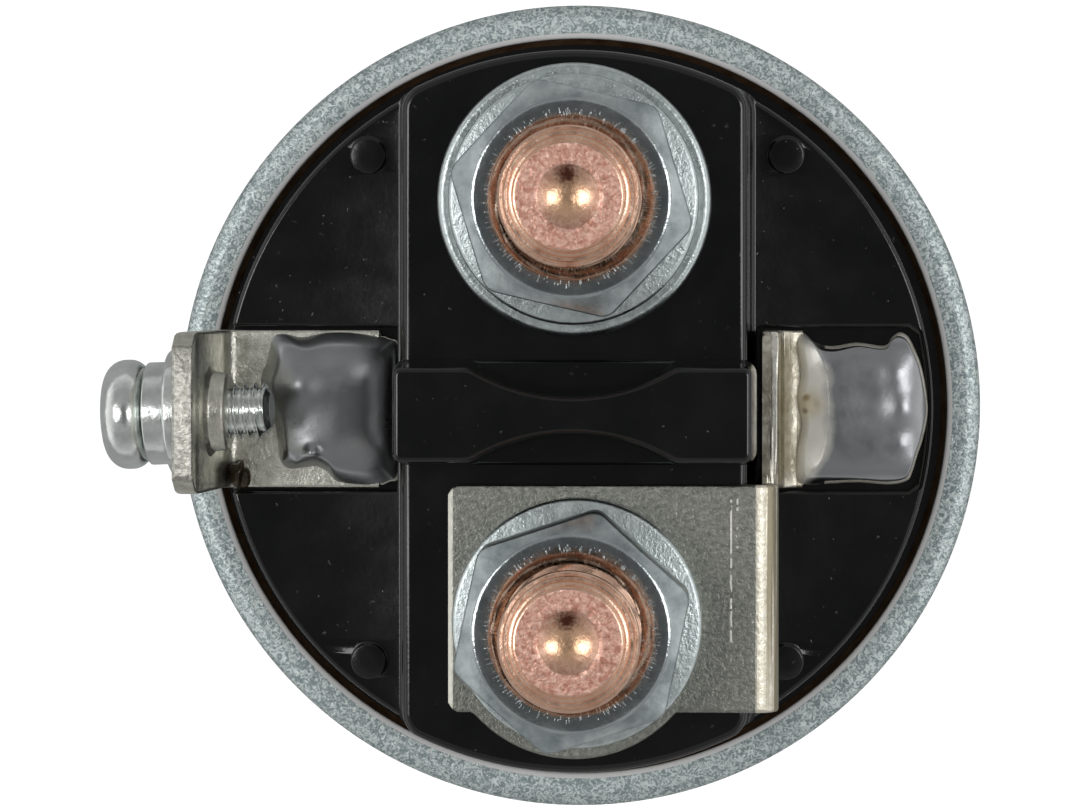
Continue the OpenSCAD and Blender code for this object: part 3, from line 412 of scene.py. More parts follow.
nutLook = makeLook((0.42, 0.47, 0.49), (0.62, 0.67, 0.67), 380, (0.11, 0.19),
    [(900, 0.03, 3.0), (4200, 0.01, 3.0)], strokes={"around": 52.0, "outwards": 1300.0, "limit": 0.62,
    "near": 5.75, "far": 6.25, "tone": (0.85, 0.88, 0.9), "depth": 0.03})
copperLook = makeLook((0.57, 0.26, 0.19), (0.96, 0.62, 0.50), 2300, (0.34, 0.50),
    [(900, 0.11, 3.0), (2600, 0.08, 4.0)], driftSpread=0.14, worms=0.8)
solderLook = makeLook((0.34, 0.35, 0.36), (0.41, 0.42, 0.43), 220, (0.27, 0.35),
    [(400, 0.02, 2.0), (2600, 0.01, 2.0)])
finishes = {
    "caseZinc": makeLook((0.33, 0.40, 0.41), (0.80, 0.88, 0.86), 2700, (0.44, 0.56),
        [(1900, 0.04, 2.0), (6200, 0.02, 3.0)], driftDetail=1.2, driftSpread=0.10, worms=1.6),
    # white on the lip is a painted highlight, a diffuse white in place of the rolled edge's shine
    "lipPaintedHighlight": makeLook((0.96, 0.96, 0.95), (1.0, 1.0, 0.99), 1200, (0.26, 0.36), [(1500, 0.01, 3.0)],
        metallic=0.0, specular=0.9),
    "lipStain": makeLook((0.10, 0.045, 0.02), (0.26, 0.16, 0.09), 700, (0.35, 0.5), [(2400, 0.04, 3.0)],
        metallic=0.3),
    "blackMoulding": makeLook((0.0025, 0.0028, 0.0028), (0.0060, 0.0063, 0.0060), 160, (0.10, 0.18),
        [(420, 0.008, 2.0), (2600, 0.006, 3.0)], metallic=0.0, specular=0.6, flecks={"scale": 2100,
        "limit": 0.71, "tone": (0.03, 0.032, 0.03), "depth": 0.008}),
    "batteryNutZinc": {**nutLook, "strokes": {**nutLook["strokes"], "centre": (0, studY)}},
    "motorNutZinc": {**nutLook, "strokes": {**nutLook["strokes"], "centre": (0, -studY)}},
    # the chamfer cone is the nut's zinc painted darker, a painted shade
    "shadedConeZinc": makeLook((0.27, 0.31, 0.32), (0.54, 0.59, 0.59), 420, (0.30, 0.42),
        [(900, 0.06, 3.0), (4200, 0.01, 3.0)], driftSpread=0.14),
    "washerZinc": makeLook((0.48, 0.54, 0.54), (0.68, 0.74, 0.73), 1700, (0.24, 0.36),
        [(2600, 0.025, 3.0), (6200, 0.02, 3.0)], patchScale=600),
    "batteryCopper": {**copperLook, "rings": {"centre": (0, studY), "scale": 2200, "depth": 0.02}},
    "motorCopper": {**copperLook, "rings": {"centre": (0, -studY), "scale": 2200, "depth": 0.02}},
    "turnedCopper": makeLook((0.78, 0.45, 0.31), (0.97, 0.67, 0.51), 700, (0.20, 0.32), [(1500, 0.03, 3.0)]),
    "dimpleCopper": {**copperLook, "rough": (0.22, 0.30), "grain": [(900, 0.03, 3.0), (2600, 0.02, 3.0)],
        # a golden centre in each dimple, and above it a dark spot that is painted shade on the dimple's upper
        # wall
        "spots": [(x, y + rise, core, reach, tone) for x, rise, core, reach, tone in (
            (0, 0, 0.7, 2.4, (0.98, 0.61, 0.38)), (-0.1, 1.5, 0.3, 0.95, (0.13, 0.045, 0.03)))
            for y in (studY, -studY)]},
    "strapTin": makeLook((0.23, 0.24, 0.21), (0.40, 0.40, 0.36), 2600, (0.30, 0.42),
        [(2600, 0.04, 4.0), (7000, 0.03, 2.0)], driftSpread=0.16, flecks={"scale": 3400, "limit": 0.70,
        "tone": (0.9, 0.9, 0.84), "depth": 0.02}, scribe={"lines": [(11.05, -11.0, 5.3), (11.5, -7.8, 1.8)],
        "width": 0.1, "scale": 1500, "tone": (0.95, 0.93, 0.86), "depth": 0.04}),
    # a painted highlight for the strap's left edge
    "edgeHighlightTin": makeLook((0.86, 0.83, 0.72), (0.99, 0.97, 0.87), 1500, (0.28, 0.40), [(2600, 0.03, 3.0)],
        metallic=0.4),
    # the bends and the foot of the strap: a painted highlight in light cream, with dark streaks
    "bendHighlightTin": makeLook((0.66, 0.61, 0.49), (0.94, 0.91, 0.79), 1500, (0.30, 0.42), [(2600, 0.04, 3.0)],
        metallic=0.85, scratches={"turn": 0, "stretch": (1.0, 0.02, 1.0), "scale": 1300, "limit": 0.50,
        "depth": 0.03, "tone": (0.42, 0.37, 0.26)}),
    "shearedTin": makeLook((0.36, 0.32, 0.25), (0.70, 0.67, 0.58), 700, (0.26, 0.40), [(2600, 0.03, 3.0)],
        scratches={"turn": 0, "stretch": (1.0, 0.03, 1.0), "scale": 2400, "limit": 0.5, "depth": 0.03,
        "tone": (0.93, 0.91, 0.82)}),
    "bracketTin": makeLook((0.48, 0.48, 0.41), (0.84, 0.83, 0.75), 900, (0.28, 0.44),
        [(1500, 0.07, 4.0), (5600, 0.03, 2.0)], driftSpread=0.2, flecks={"scale": 1800, "limit": 0.68,
        "worms": 1.2, "tone": (0.95, 0.94, 0.88), "depth": 0.03}),
    "postEnd": makeLook((0.36, 0.35, 0.31), (0.67, 0.66, 0.60), 3000, (0.34, 0.48),
        [(1500, 0.08, 3.0), (4200, 0.04, 3.0)], driftSpread=0.12),
    "solderMetal": solderLook,
    "solderRim": makeLook((0.58, 0.54, 0.45), (0.94, 0.91, 0.83), 900, (0.26, 0.38), [(1200, 0.03, 3.0)],
        metallic=0.2),
    "motorSolderMetal": {**solderLook, "fade": {"at": 18.2, "reach": 2.1, "half": 5.6, "soft": 0.5,
        "wobble": 1.2, "scale": 500, "tone": (0.98, 0.95, 0.86), "metallic": 0.1},
        "spots": [(16.6, 0.4, 0.2, 1.5, (0.80, 0.70, 0.50)), (16.5, 0.9, 0.05, 0.35, (0.42, 0.31, 0.17)),
        (16.45, -0.1, 0.05, 0.28, (0.42, 0.31, 0.17))]},
    "fluxBrown": makeLook((0.015, 0.010, 0.006), (0.08, 0.055, 0.03), 900, (0.08, 0.20), [(1500, 0.03, 3.0)],
        metallic=0.3),
    "screwZinc": makeLook((0.64, 0.67, 0.65), (0.90, 0.93, 0.91), 600, (0.15, 0.27),
        [(1200, 0.03, 3.0), (4200, 0.01, 3.0)]),
    "springSteel": makeLook((0.30, 0.30, 0.31), (0.44, 0.44, 0.45), 300, (0.26, 0.42), [(2600, 0.02, 3.0)]),
    "plungerSteel": makeLook((0.46, 0.46, 0.46), (0.60, 0.60, 0.59), 260, (0.22, 0.36), [(2000, 0.02, 3.0)],
        rings={"centre": (0, 0), "scale": 3200, "depth": 0.02}),
    "pressedSteel": makeLook((0.40, 0.41, 0.43), (0.55, 0.56, 0.58), 340, (0.28, 0.44), [(1800, 0.03, 3.0)]),
    "coreSteel": makeLook((0.40, 0.40, 0.40), (0.54, 0.54, 0.53), 300, (0.30, 0.44), [(1600, 0.03, 3.0)],
        scratches={"turn": 10, "stretch": (0.06, 1.0, 1.0), "scale": 3200, "limit": 0.62, "depth": 0.01}),
    "brassTube": makeLook((0.62, 0.45, 0.20), (0.78, 0.60, 0.30), 300, (0.22, 0.36), [(2400, 0.01, 3.0)]),
    "blackRubber": makeLook((0.012, 0.012, 0.012), (0.030, 0.029, 0.028), 500, (0.55, 0.75),
        [(1500, 0.03, 3.0)], metallic=0.0),
    "bobbinNylon": makeLook((0.60, 0.56, 0.46), (0.74, 0.70, 0.60), 200, (0.40, 0.55), [(900, 0.02, 3.0)],
        metallic=0.0),
    "enamelledCopper": makeLook((0.34, 0.10, 0.04), (0.52, 0.20, 0.09), 500, (0.22, 0.36),
        [(1200, 0.03, 2.0)], metallic=0.8),
    "insulatingPaper": makeLook((0.52, 0.40, 0.22), (0.66, 0.54, 0.34), 600, (0.6, 0.8), [(1600, 0.05, 4.0)],
        metallic=0.0),
    "brownPhenolic": makeLook((0.10, 0.045, 0.02), (0.18, 0.085, 0.04), 400, (0.35, 0.5), [(1200, 0.02, 3.0)],
        metallic=0.0),
}
finish = {name: makeFinish(name, look) for name, look in finishes.items()}
print("finishes made:", len(finish))

# finishes of the CAD nodes that stay as they are
nodesByFinish = {
    "blackRubber": ("cap_gasket", "battery_stud_seal", "motor_stud_seal"), "coreSteel": ("fixed_core",),
    "brassTube": ("plunger_sleeve",), "bobbinNylon": ("bobbin",), "turnedCopper": ("contact_disc",),
    "enamelledCopper": ("pull_in_winding", "hold_in_winding", "switch_lead", "pull_in_lead"),
    "insulatingPaper": ("winding_wrap", "lead_sleeves"), "plungerSteel": ("push_rod",),
    "brownPhenolic": ("lower_insulator", "upper_insulator"),
    "springSteel": ("rod_clip", "contact_pressure_spring"),
}
for finishName, nodeNames in nodesByFinish.items():
    for nodeName in nodeNames:
        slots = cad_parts[nodeName].data.materials
        slots.clear()
        slots.append(finish[finishName])

# camera

cameraLook = {"place": (8.3, 10.3, 432.0), "target": (-2.87, 0.112, 57.0), "lens": 170.04, "sensor": 36.0,
    "clip": (0.01, 20)}


def makeCamera(look):
    data = bpy.data.cameras.new("photoCamera")
    data.lens = look["lens"]
    data.sensor_width = look["sensor"]
    data.clip_start, data.clip_end = look["clip"]
    camera = bpy.data.objects.new("photoCamera", data)
    scene.collection.objects.link(camera)
    place = Vector(look["place"]) * mm
    ahead = (Vector(look["target"]) * mm - place).normalized()
    right = ahead.cross(Vector((0, 1, 0))).normalized()
    up = right.cross(ahead)
    axes = Matrix((right, up, -ahead)).transposed()
    camera.matrix_world = Matrix.Translation(place) @ axes.to_4x4()
    scene.camera = camera


makeCamera(cameraLook)

# case, drawn and zinc plated, its rim rolled over the cap

caseShape = {"radius": 29.5, "height": 57.0, "rimRound": 1.0, "stainRadius": 27.04, "paintedHighlightRadius": 27.42,
    "shoulder": 55.6, "mouth": 27.9, "seat": 40.0, "bore": 26.5, "boreRound": 0.4, "frontWall": 5.0,
    "frontRound": 1.5, "neck": 12.0, "neckRound": 0.3, "pilot": 19.0, "pilotDrop": 2.5, "pilotRound": 0.5,
    "holes": 3, "holeCircle": 23.5, "holeRadius": 2.5, "holeMouth": 3.0,
    "lip": [(27.5, 57.0), (27.42, 56.992), (27.34, 56.976), (27.24, 56.95), (27.14, 56.915), (27.08, 56.87),
            (27.03, 56.76), (26.98, 56.5), (26.86, 56.1), (26.7, 55.77), (26.62, 55.62)]}


def buildCase(s):
    lip, shoulder = [(r, z, 0) for r, z in s["lip"]], s["shoulder"]
    path = filletPath([
        (s["neck"], -s["pilotDrop"], s["neckRound"]), (s["pilot"], -s["pilotDrop"], s["pilotRound"]),
        (s["pilot"], 0, 0), (s["radius"], 0, s["frontRound"]), (s["radius"], s["height"], s["rimRound"]),
        *lip, (lip[-1][0], shoulder, 0), (s["mouth"], shoulder, 0), (s["mouth"], s["seat"], 0),
        (s["bore"], s["seat"], 0), (s["bore"], s["frontWall"], s["boreRound"]),
        (s["neck"], s["frontWall"], 0)])
    case = meshObject("caseShell", revolve(path, steps=240))
    holes = []
    for k in range(s["holes"]):
        x, y = aim(90 + 360 * k / s["holes"])
        holes.append(discStack([(s["holeMouth"], -1), (s["holeMouth"], 0),
                                (s["holeRadius"], s["holeMouth"] - s["holeRadius"]),
                                (s["holeRadius"], s["frontWall"] + 1)],
                               (s["holeCircle"] * x, s["holeCircle"] * y), 48))
    cutWith(case, holes)
    dressPiece(case, "case", "case_zinc", "caseZinc", "lipPaintedHighlight", "lipStain")

    def lipIndex(face, x, y, z):  # the lip is painted white as a painted highlight, and sealing varnish lies under it
        away = math.hypot(x, y)
        if z <= shoulder or away >= s["paintedHighlightRadius"]:
            return 0
        return 1 if away > s["stainRadius"] else 2
    paintFaces(case, lipIndex)


buildCase(caseShape)
print("case built")

# terminal cap: deck with solder pockets, slab and scalloped rib

capShape = {"radius": 25.7, "flange": 27.9, "flangeBottom": 45.0, "shoulder": 55.6, "chamber": 22.8,
    "ceiling": 60.5, "deck": 63.5, "deckRound": 0.3, "pocketFloor": 62.0, "pocketWidth": 11.8,
    "pocketInner": 6.0, "pocketRadius": 25.2, "notchCorner": 0.25, "springPocket": 4.6,
    "springPocketTop": 66.0, "studHole": 5.1, "leadX": 20.0, "leadHole": 0.85}
slabShape = {"halfWidth": 12.5, "draft": 0.3, "endRadius": 25.9, "corner": 2.2, "top": 71.5, "edge": 0.5,
    "cove": 0.5}
ribShape = {"halfLength": 12.45, "halfWidth": 3.3, "draft": 0.45, "top": 79.0, "edge": 0.35, "ledge": 1.2,
    "scallop": 13.7, "corner": 0.6, "soften": 0.25, "steps": 90}
markShape = {"x": 15.1, "y": 18.3, "radius": 1.3, "rise": 0.16, "edge": 0.14, "foot": 0.16, "lean": 3.5}


def arcPoints(centre, radius, fromAngle, toAngle, count):
    ways = [aim(fromAngle + (toAngle - fromAngle) * k / count) for k in range(count + 1)]
    return [(centre[0] + radius * x, centre[1] + radius * y) for x, y in ways]


def deckOutline(s):
    # circle with the left pocket's notch, anticlockwise from the notch's upper edge
    half, inner = s["pocketWidth"] / 2, s["pocketInner"]
    edgeAngle = math.degrees(math.asin((half + s["notchCorner"]) / s["radius"]))
    x = -s["radius"] * aim(edgeAngle)[0]
    outline = arcPoints((0, 0), s["radius"], 180 + edgeAngle, 540 - edgeAngle, 220)
    return outline + [(x + 0.2, half + 0.02), (x + 0.5, half), (-inner, half), (-inner, -half),
                      (x + 0.5, -half), (x + 0.2, -half - 0.02)]


def pocketOutline(s):
    # right-hand pocket, clockwise, its outer side following the wall
    half, inner = s["pocketWidth"] / 2, s["pocketInner"]
    angle = math.degrees(math.asin(half / s["pocketRadius"]))
    x = s["pocketRadius"] * aim(angle)[0] - 0.6
    outer = arcPoints((0, 0), s["pocketRadius"], -angle + 1.2, angle - 1.2, 16)
    return [(inner, half), (x, half)] + outer[::-1] + [(x, -half), (inner, -half)]


def slabOutline(s, inset):
    # arcs of the corners and of the two ends keep their centres, so an inset is exact;
    # the cove stops at the ends, which stand on the deck's edge
    cx = s["halfWidth"] - s["corner"]
    cy = math.sqrt((s["endRadius"] - s["corner"]) ** 2 - cx ** 2)
    lean = math.degrees(math.atan2(cy, cx))
    half = arcPoints((cx, cy), s["corner"] - inset, 0, lean, 8)
    half += arcPoints((0, 0), s["endRadius"] - inset, lean, 180 - lean, 24)[1:-1]
    half += arcPoints((-cx, cy), s["corner"] - inset, 180 - lean, 180, 8)
    points = [Vector(p) for p in half + [(-x, -y) for x, y in half]]
    return [tuple(p * min(1, s["endRadius"] / p.length)) for p in points]


def ribOutline(s, inset, scalloped):
    # half of the rib from +x to -x, then the other half by symmetry
    a, b, c = s["halfLength"] - inset, s["halfWidth"] - inset, max(s["corner"] - inset, 0.1)
    reach, soft = s["scallop"] + inset, s["soften"]
    loop = arcPoints((a - c, b - c), c, 0, 90, 5)
    for k in range(1, s["steps"]):
        x = (a - c) * (1 - 2 * k / s["steps"])
        y = b
        if scalloped and abs(x) < reach:
            cut = studY - math.sqrt(reach ** 2 - x ** 2)
            h = max(soft - abs(b - cut), 0) / soft
            y = min(b, cut) - h * h * soft / 4
        loop.append((x, y))
    loop += arcPoints((-a + c, b - c), c, 90, 180, 5)
    return loop + [(-x, -y) for x, y in loop]


def markShell(s):
    # ejector mark: a low disc with a cove at its foot
    outer = s["radius"] + s["foot"]
    levels = [(outer, -0.2), (outer, -0.005)]
    levels += [(s["radius"] + fall, inward / 2) for fall, inward in quarterRound(s["foot"], (25, 50, 75))]
    levels += [(s["radius"] - inward, s["rise"] - fall)
               for fall, inward in quarterRound(s["edge"], (10, 30, 50, 70, 88))]
    return discStack(levels + [(0.4, s["rise"])], steps=64)


def buildCap(s, slab, rib, mark):
    # lower body, hollow below, up to the pocket floors
    cap = meshObject("terminalCap", revolve(filletPath([
        (s["chamber"], s["flangeBottom"], 0.3), (s["flange"], s["flangeBottom"], 0.2),
        (s["flange"], s["shoulder"], 0.2), (s["radius"], s["shoulder"], 0.25),
        (s["radius"] - 0.02, s["pocketFloor"], 0.05), (s["springPocket"], s["pocketFloor"], 0),
        (s["springPocket"], s["ceiling"], 0), (s["chamber"], s["ceiling"], 0.5)]), steps=240))
    deck = stackLoops([deckOutline(s), pocketOutline(s)],
                      roundedLayers(s["pocketFloor"] - 0.4, s["deck"], s["deckRound"]))
    # slab with a cove at its foot, a wall that leans in by the draft and a rounded edge
    foot = s["deck"] - 0.02
    slabLayers = [(s["pocketFloor"] - 0.6, -slab["cove"]), (foot, -slab["cove"])]
    slabLayers += [(foot + inward, -fall) for fall, inward in quarterRound(slab["cove"])[1:]]
    slabLayers.append((slab["top"] - slab["edge"] - 0.1, slab["draft"]))
    slabLayers += roundedTop(slab["top"], slab["edge"], slab["draft"])
    # rib with a low ledge round it
    ledgeTop, draft = slab["top"] + rib["ledge"], rib["draft"]
    ledgeLayers = [(slab["top"] - 0.5, -draft)]
    ledgeLayers += [(ledgeTop - drop, inward - draft)
                    for drop, inward in ((0.3, 0.05), (0.12, 0.1), (0, 0.25), (0, 0.3))]
    ribLayers = [(slab["top"] + 0.2, -draft * 0.95), (rib["top"] - rib["edge"] - 0.1, 0)]
    ribLayers += roundedTop(rib["top"], rib["edge"])
    shells = [deck, layeredShell(lambda inset: slabOutline(slab, inset), slabLayers),
              layeredShell(lambda inset: ribOutline(rib, inset, False), ledgeLayers),
              layeredShell(lambda inset: ribOutline(rib, inset, True), ribLayers)]
    disc = markShell(mark)
    for side in (-1, 1):
        for across in (-1, 1):
            place = Matrix.Translation((across * mark["x"], side * mark["y"], s["deck"]))
            lean = Matrix.Rotation(math.radians(mark["lean"]), 4, (1, across, 0))
            shells.append(placeShell(disc, place @ lean))
    cutWith(cap, shells, "UNION")
    tools = [pin(s["springPocket"], s["pocketFloor"] - 1.2, s["springPocketTop"])]
    for side in (-1, 1):
        tools.append(pin(s["studHole"], s["ceiling"] - 1, slab["top"] + 1, (0, side * studY)))
        tools.append(pin(s["leadHole"], s["ceiling"] - 1, s["deck"] + 1, (side * s["leadX"], 0), 24))
    cutWith(cap, tools)
    dressPiece(cap, "terminal_cap", "black_moulding", "blackMoulding")
    print("cap built:", len(cap.data.polygons), "faces")


buildCap(capShape, slabShape, ribShape, markShape)

# studs, their nuts and washers

studShape = {"radius": 4.85, "pitch": 1.5, "depth": 0.8, "top": 90.0, "endRadius": 3.6, "dimple": 2.2,
    "dimpleDepth": 0.64, "headRadius": 7.45, "headFlat": 6.15, "headBottom": 57.8, "headTop": 61.5,
    "shank": 5.0, "plain": 4.0, "chamberRadius": 22.65, "columns": 120, "rowsPerPitch": 14, "swing": 0.05,
    "steps": [(3.6, 0.0), (3.7, -0.03), (3.76, -0.1), (3.8, -0.24), (3.86, -0.3), (4.02, -0.32),
    (4.08, -0.36), (4.12, -0.5), (4.17, -0.58), (4.36, -0.6), (4.42, -0.66), (4.46, -0.86), (4.52, -0.92),
    (4.68, -0.94), (4.74, -1.0), (4.8, -1.15), (4.84, -1.25)]}
nutShape = {"acrossFlats": 15.0, "height": 7.0, "chamfer": 1.8, "chamferAngle": 30, "countersink": 5.6,
    "bore": 4.5, "cornerRound": 0.18, "stepsPerSide": 24}
stackShape = {"battery": {"y": studY, "nutBottom": 75.2, "turn": 47.0},
              "motor": {"y": -studY, "nutBottom": 74.85, "turn": 18.0}}


def threadRings(crest, depth, pitch, z0, z1, columns, rowsPerPitch):
    # helical thread: crests an eighth of the pitch wide and roots a quarter
    rings = []
    rows = int((z1 - z0) / pitch * rowsPerPitch)
    for row in range(rows + 1):
        z = z0 + (z1 - z0) * row / rows
        ring = []
        for a in fullTurn(columns):
            t = (z / pitch - a / (2 * math.pi)) % 1.0
            r = crest - depth * min(max((min(t, 1 - t) - 0.0625) / 0.3125, 0), 1)
            ring.append((r * math.cos(a), r * math.sin(a), z))
        rings.append(ring)
    return rings


def headOutline(s, y0):
    # round head with two flats, trimmed by the chamber's curve on its outer side
    outline = []
    for a in fullTurn(s["columns"]):
        r = min(s["headRadius"], s["headFlat"] / max(abs(math.cos(a)), 1e-6))
        outward = y0 * math.sin(a)
        reach = math.sqrt(outward ** 2 + s["chamberRadius"] ** 2 - y0 ** 2) - outward
        outline.append((min(r, reach) * math.cos(a), min(r, reach) * math.sin(a)))
    return outline


def buildStud(name, s, stack, node, endFinish):
    columns, top, root = s["columns"], s["top"], s["radius"] - s["depth"]
    head = headOutline(s, stack["y"])
    rings = [[(x * share, y * share, z) for x, y in head] for share, z in (
        (0.96, s["headBottom"]), (1, s["headBottom"] + 0.3), (1, s["headTop"] - 0.05), (0.995, s["headTop"]))]
    threadStart = stack["nutBottom"] + s["plain"]
    threadEnd = top + s["steps"][-1][1] - 0.02
    rings += [circleRing(r, z, columns) for r, z in (
        (s["shank"], s["headTop"]), (s["shank"], stack["nutBottom"]), (root, stack["nutBottom"] + 0.4),
        (root, threadStart - 0.1))]
    rings += threadRings(s["radius"], s["depth"], s["pitch"], threadStart, threadEnd, columns,
                         s["rowsPerPitch"])
    for r, drop in s["steps"][::-1]:  # worn chamfer over the last turns, whose steps sway as they go round
        sway = s["swing"] if s["endRadius"] + 0.1 < r < s["radius"] - 0.05 else 0
        spreads = [(a, r + sway * math.sin(a + 0.6)) for a in fullTurn(columns)]
        rings.append([(spread * math.cos(a), spread * math.sin(a), top + drop) for a, spread in spreads])
    rings += [circleRing(r, top + drop, columns) for r, drop in (
        (s["endRadius"] - 0.08, 0.0), (s["endRadius"] - 0.9, -0.02), (s["dimple"] + 0.35, 0.0),
        (s["dimple"] + 0.15, -0.02))]
    curve = (s["dimple"] ** 2 + s["dimpleDepth"] ** 2) / (2 * s["dimpleDepth"])
    for share in (0.98, 0.9, 0.8, 0.68, 0.56, 0.44, 0.32, 0.2, 0.06):
        r = s["dimple"] * share
        drop = s["dimpleDepth"] - curve + math.sqrt(curve ** 2 - r * r)
        rings.append(circleRing(r, top - 0.03 - drop, columns))
    shell = placeShell(loftRings(rings), Matrix.Translation((0, stack["y"], 0)))
    stud = addPiece(name, shell, node, "stud_copper", "turnedCopper", endFinish, "dimpleCopper",
                    sharpAngle=34)

    def endIndex(face, x, y, z):
        away = math.hypot(x, y - stack["y"])
        if z <= top - 1 or away >= s["endRadius"] + 0.02:
            return 0
        return 1 if away > s["dimple"] - 0.05 else 2
    paintFaces(stud, endIndex)


def buildNut(name, s, stack, node, finishName):
    # columns follow the hexagon, rows follow bore, countersink, face, chamfer and flank
    turn = math.radians(stack["turn"])
    half, steps = s["acrossFlats"] / 2, s["stepsPerSide"]
    cone = math.tan(math.radians(s["chamferAngle"]))
    corner = half / math.cos(math.pi / 6)
    faceRadius = corner - s["chamfer"]
    depth, mouth = s["countersink"] - s["bore"], s["countersink"]
    z0, z1 = stack["nutBottom"], stack["nutBottom"] + s["height"]
    soft = [(faceRadius + reach, sink) for reach, sink in (
        (-0.24, 0.0), (-0.15, 0.008), (-0.05, 0.032), (0.06, 0.08), (0.17, 0.135))]
    rings = []
    for side in range(6):
        for k in range(steps):
            u = -1 + 2 * k / steps
            a = turn + math.radians(60 * side + 30 + 30 * math.copysign(abs(u) ** 0.75, u))
            wall = half / math.cos((a - turn) % (math.pi / 3) - math.pi / 6)
            wall -= s["cornerRound"] * max(0, 1 - (corner - wall) / 0.35) ** 2
            drop = max(wall - faceRadius, 0) * cone
            column = [(s["bore"], z0 + depth), (mouth, z0 + 0.02), (mouth + 0.06, z0)]
            column += [(r, z0 + sink) for r, sink in soft]
            column += [(wall - 0.12, z0 + max(drop - 0.07, 0.14)), (wall, z0 + drop + 0.12),
                       (wall, z1 - drop - 0.12), (wall - 0.04, z1 - drop - 0.04),
                       (wall - 0.12, z1 - max(drop - 0.07, 0.14))]
            column += [(r, z1 - sink) for r, sink in soft[::-1]]
            column += [(mouth + 0.14, z1), (mouth + 0.05, z1 - 0.015), (mouth - 0.03, z1 - 0.08),
                       (s["bore"], z1 - depth)]
            rings.append([(min(r, wall) * math.cos(a), min(r, wall) * math.sin(a), z) for r, z in column])
    shell = placeShell(loftRings(rings, closed=True), Matrix.Translation((0, stack["y"], 0)))
    nut = addPiece(name, shell, node, "bright_zinc", finishName, "shadedConeZinc", sharpAngle=30)
    # faces beyond the flat face take the cone's painted shade
    paintFaces(nut, lambda face, x, y, z: int(math.hypot(x, y - stack["y"]) > faceRadius + 0.1))


# rounds: inner and outer lower edge, outer and inner upper edge
flatWasherShape = {"inner": 5.25, "outer": 9.65, "bottom": 71.5, "thickness": 1.5,
    "rounds": (0.1, 0.15, 0.45, 0.15), "centre": (0, studY)}
springWasherShape = {"inner": 5.35, "outer": 8.8, "thickness": 1.8, "dish": 0.4,
    "rounds": (0.1, 0.15, 0.3, 0.15)}
springWasherPlaces = {"battery": {"centre": (0, studY), "bottom": 73.0},
                      "motor": {"centre": (0.23, 0.23 - studY), "bottom": 72.65}}


def buildWasher(name, s, node):
    addPiece(name, revolve(washerPath(s), s["centre"]), node, "bright_zinc", "washerZinc")


for stackName, stack in stackShape.items():
    buildStud(stackName + "Stud", studShape, stack, stackName + "_stud", stackName + "Copper")
for stackName, stack in stackShape.items():
    buildNut(stackName + "Nut", nutShape, stack, stackName + "_nut", stackName + "NutZinc")
buildWasher("batteryFlatWasher", flatWasherShape, "battery_flat_washer")
for stackName, place in springWasherPlaces.items():
    buildWasher(stackName + "SpringWasher", {**springWasherShape, **place}, stackName + "_spring_washer")
print("studs, nuts and washers built")

# sheet parts: the motor strap and the switch terminal

def sheetSection(origin, normal, y0, y1, thickness, edge, inset=0.0):
    # closed outline of a sheet cut across, with rounded edges
    corner = max(edge - inset, 0.03)
    loop = filletPath([(inset, y0 + inset, corner), (thickness - inset, y0 + inset, corner),
                       (thickness - inset, y1 - inset, corner), (inset, y1 - inset, corner)], 3, 0.03)
    return [(origin[0] + n * normal[0], y, origin[1] + n * normal[1]) for n, y in loop]


def sheetShell(s, stations):
    # stations are (origin, normal, low y, high y, inset) along the sheet
    return loftRings([sheetSection(origin, normal, y0, y1, s["thickness"], s["edge"], inset)
                      for origin, normal, y0, y1, inset in stations])


def bendStations(centre, radius, fromAngle, toAngle, steps, y0, y1, outward=1):
    # round a bend; the sheet's normal points away from the centre, or to it where outward is -1
    ways = [aim(fromAngle + (toAngle - fromAngle) * k / steps) for k in range(steps + 1)]
    return [((centre[0] + radius * x, centre[1] + radius * z), (outward * x, outward * z), y0, y1, 0.0)
            for x, z in ways]


strapShape = {"thickness": 1.15, "edge": 0.22, "left": -8.9, "bottom": -21.2, "top": -5.1, "lobe": 9.5,
    "studHole": 5.25, "slabTop": 71.5, "legX": 13.3, "bend": 0.5, "footBend": 1.8,
    "footHalf": 5.7, "tongueHalf": 4.2, "floor": 62.0, "footEnd": 24.3, "paintedHighlightEdge": 0.34,
    "legDrop": 2.0, "legLow": 2.5, "legStep": 3.0, "cornerCut": 0.5, "steps": 70}


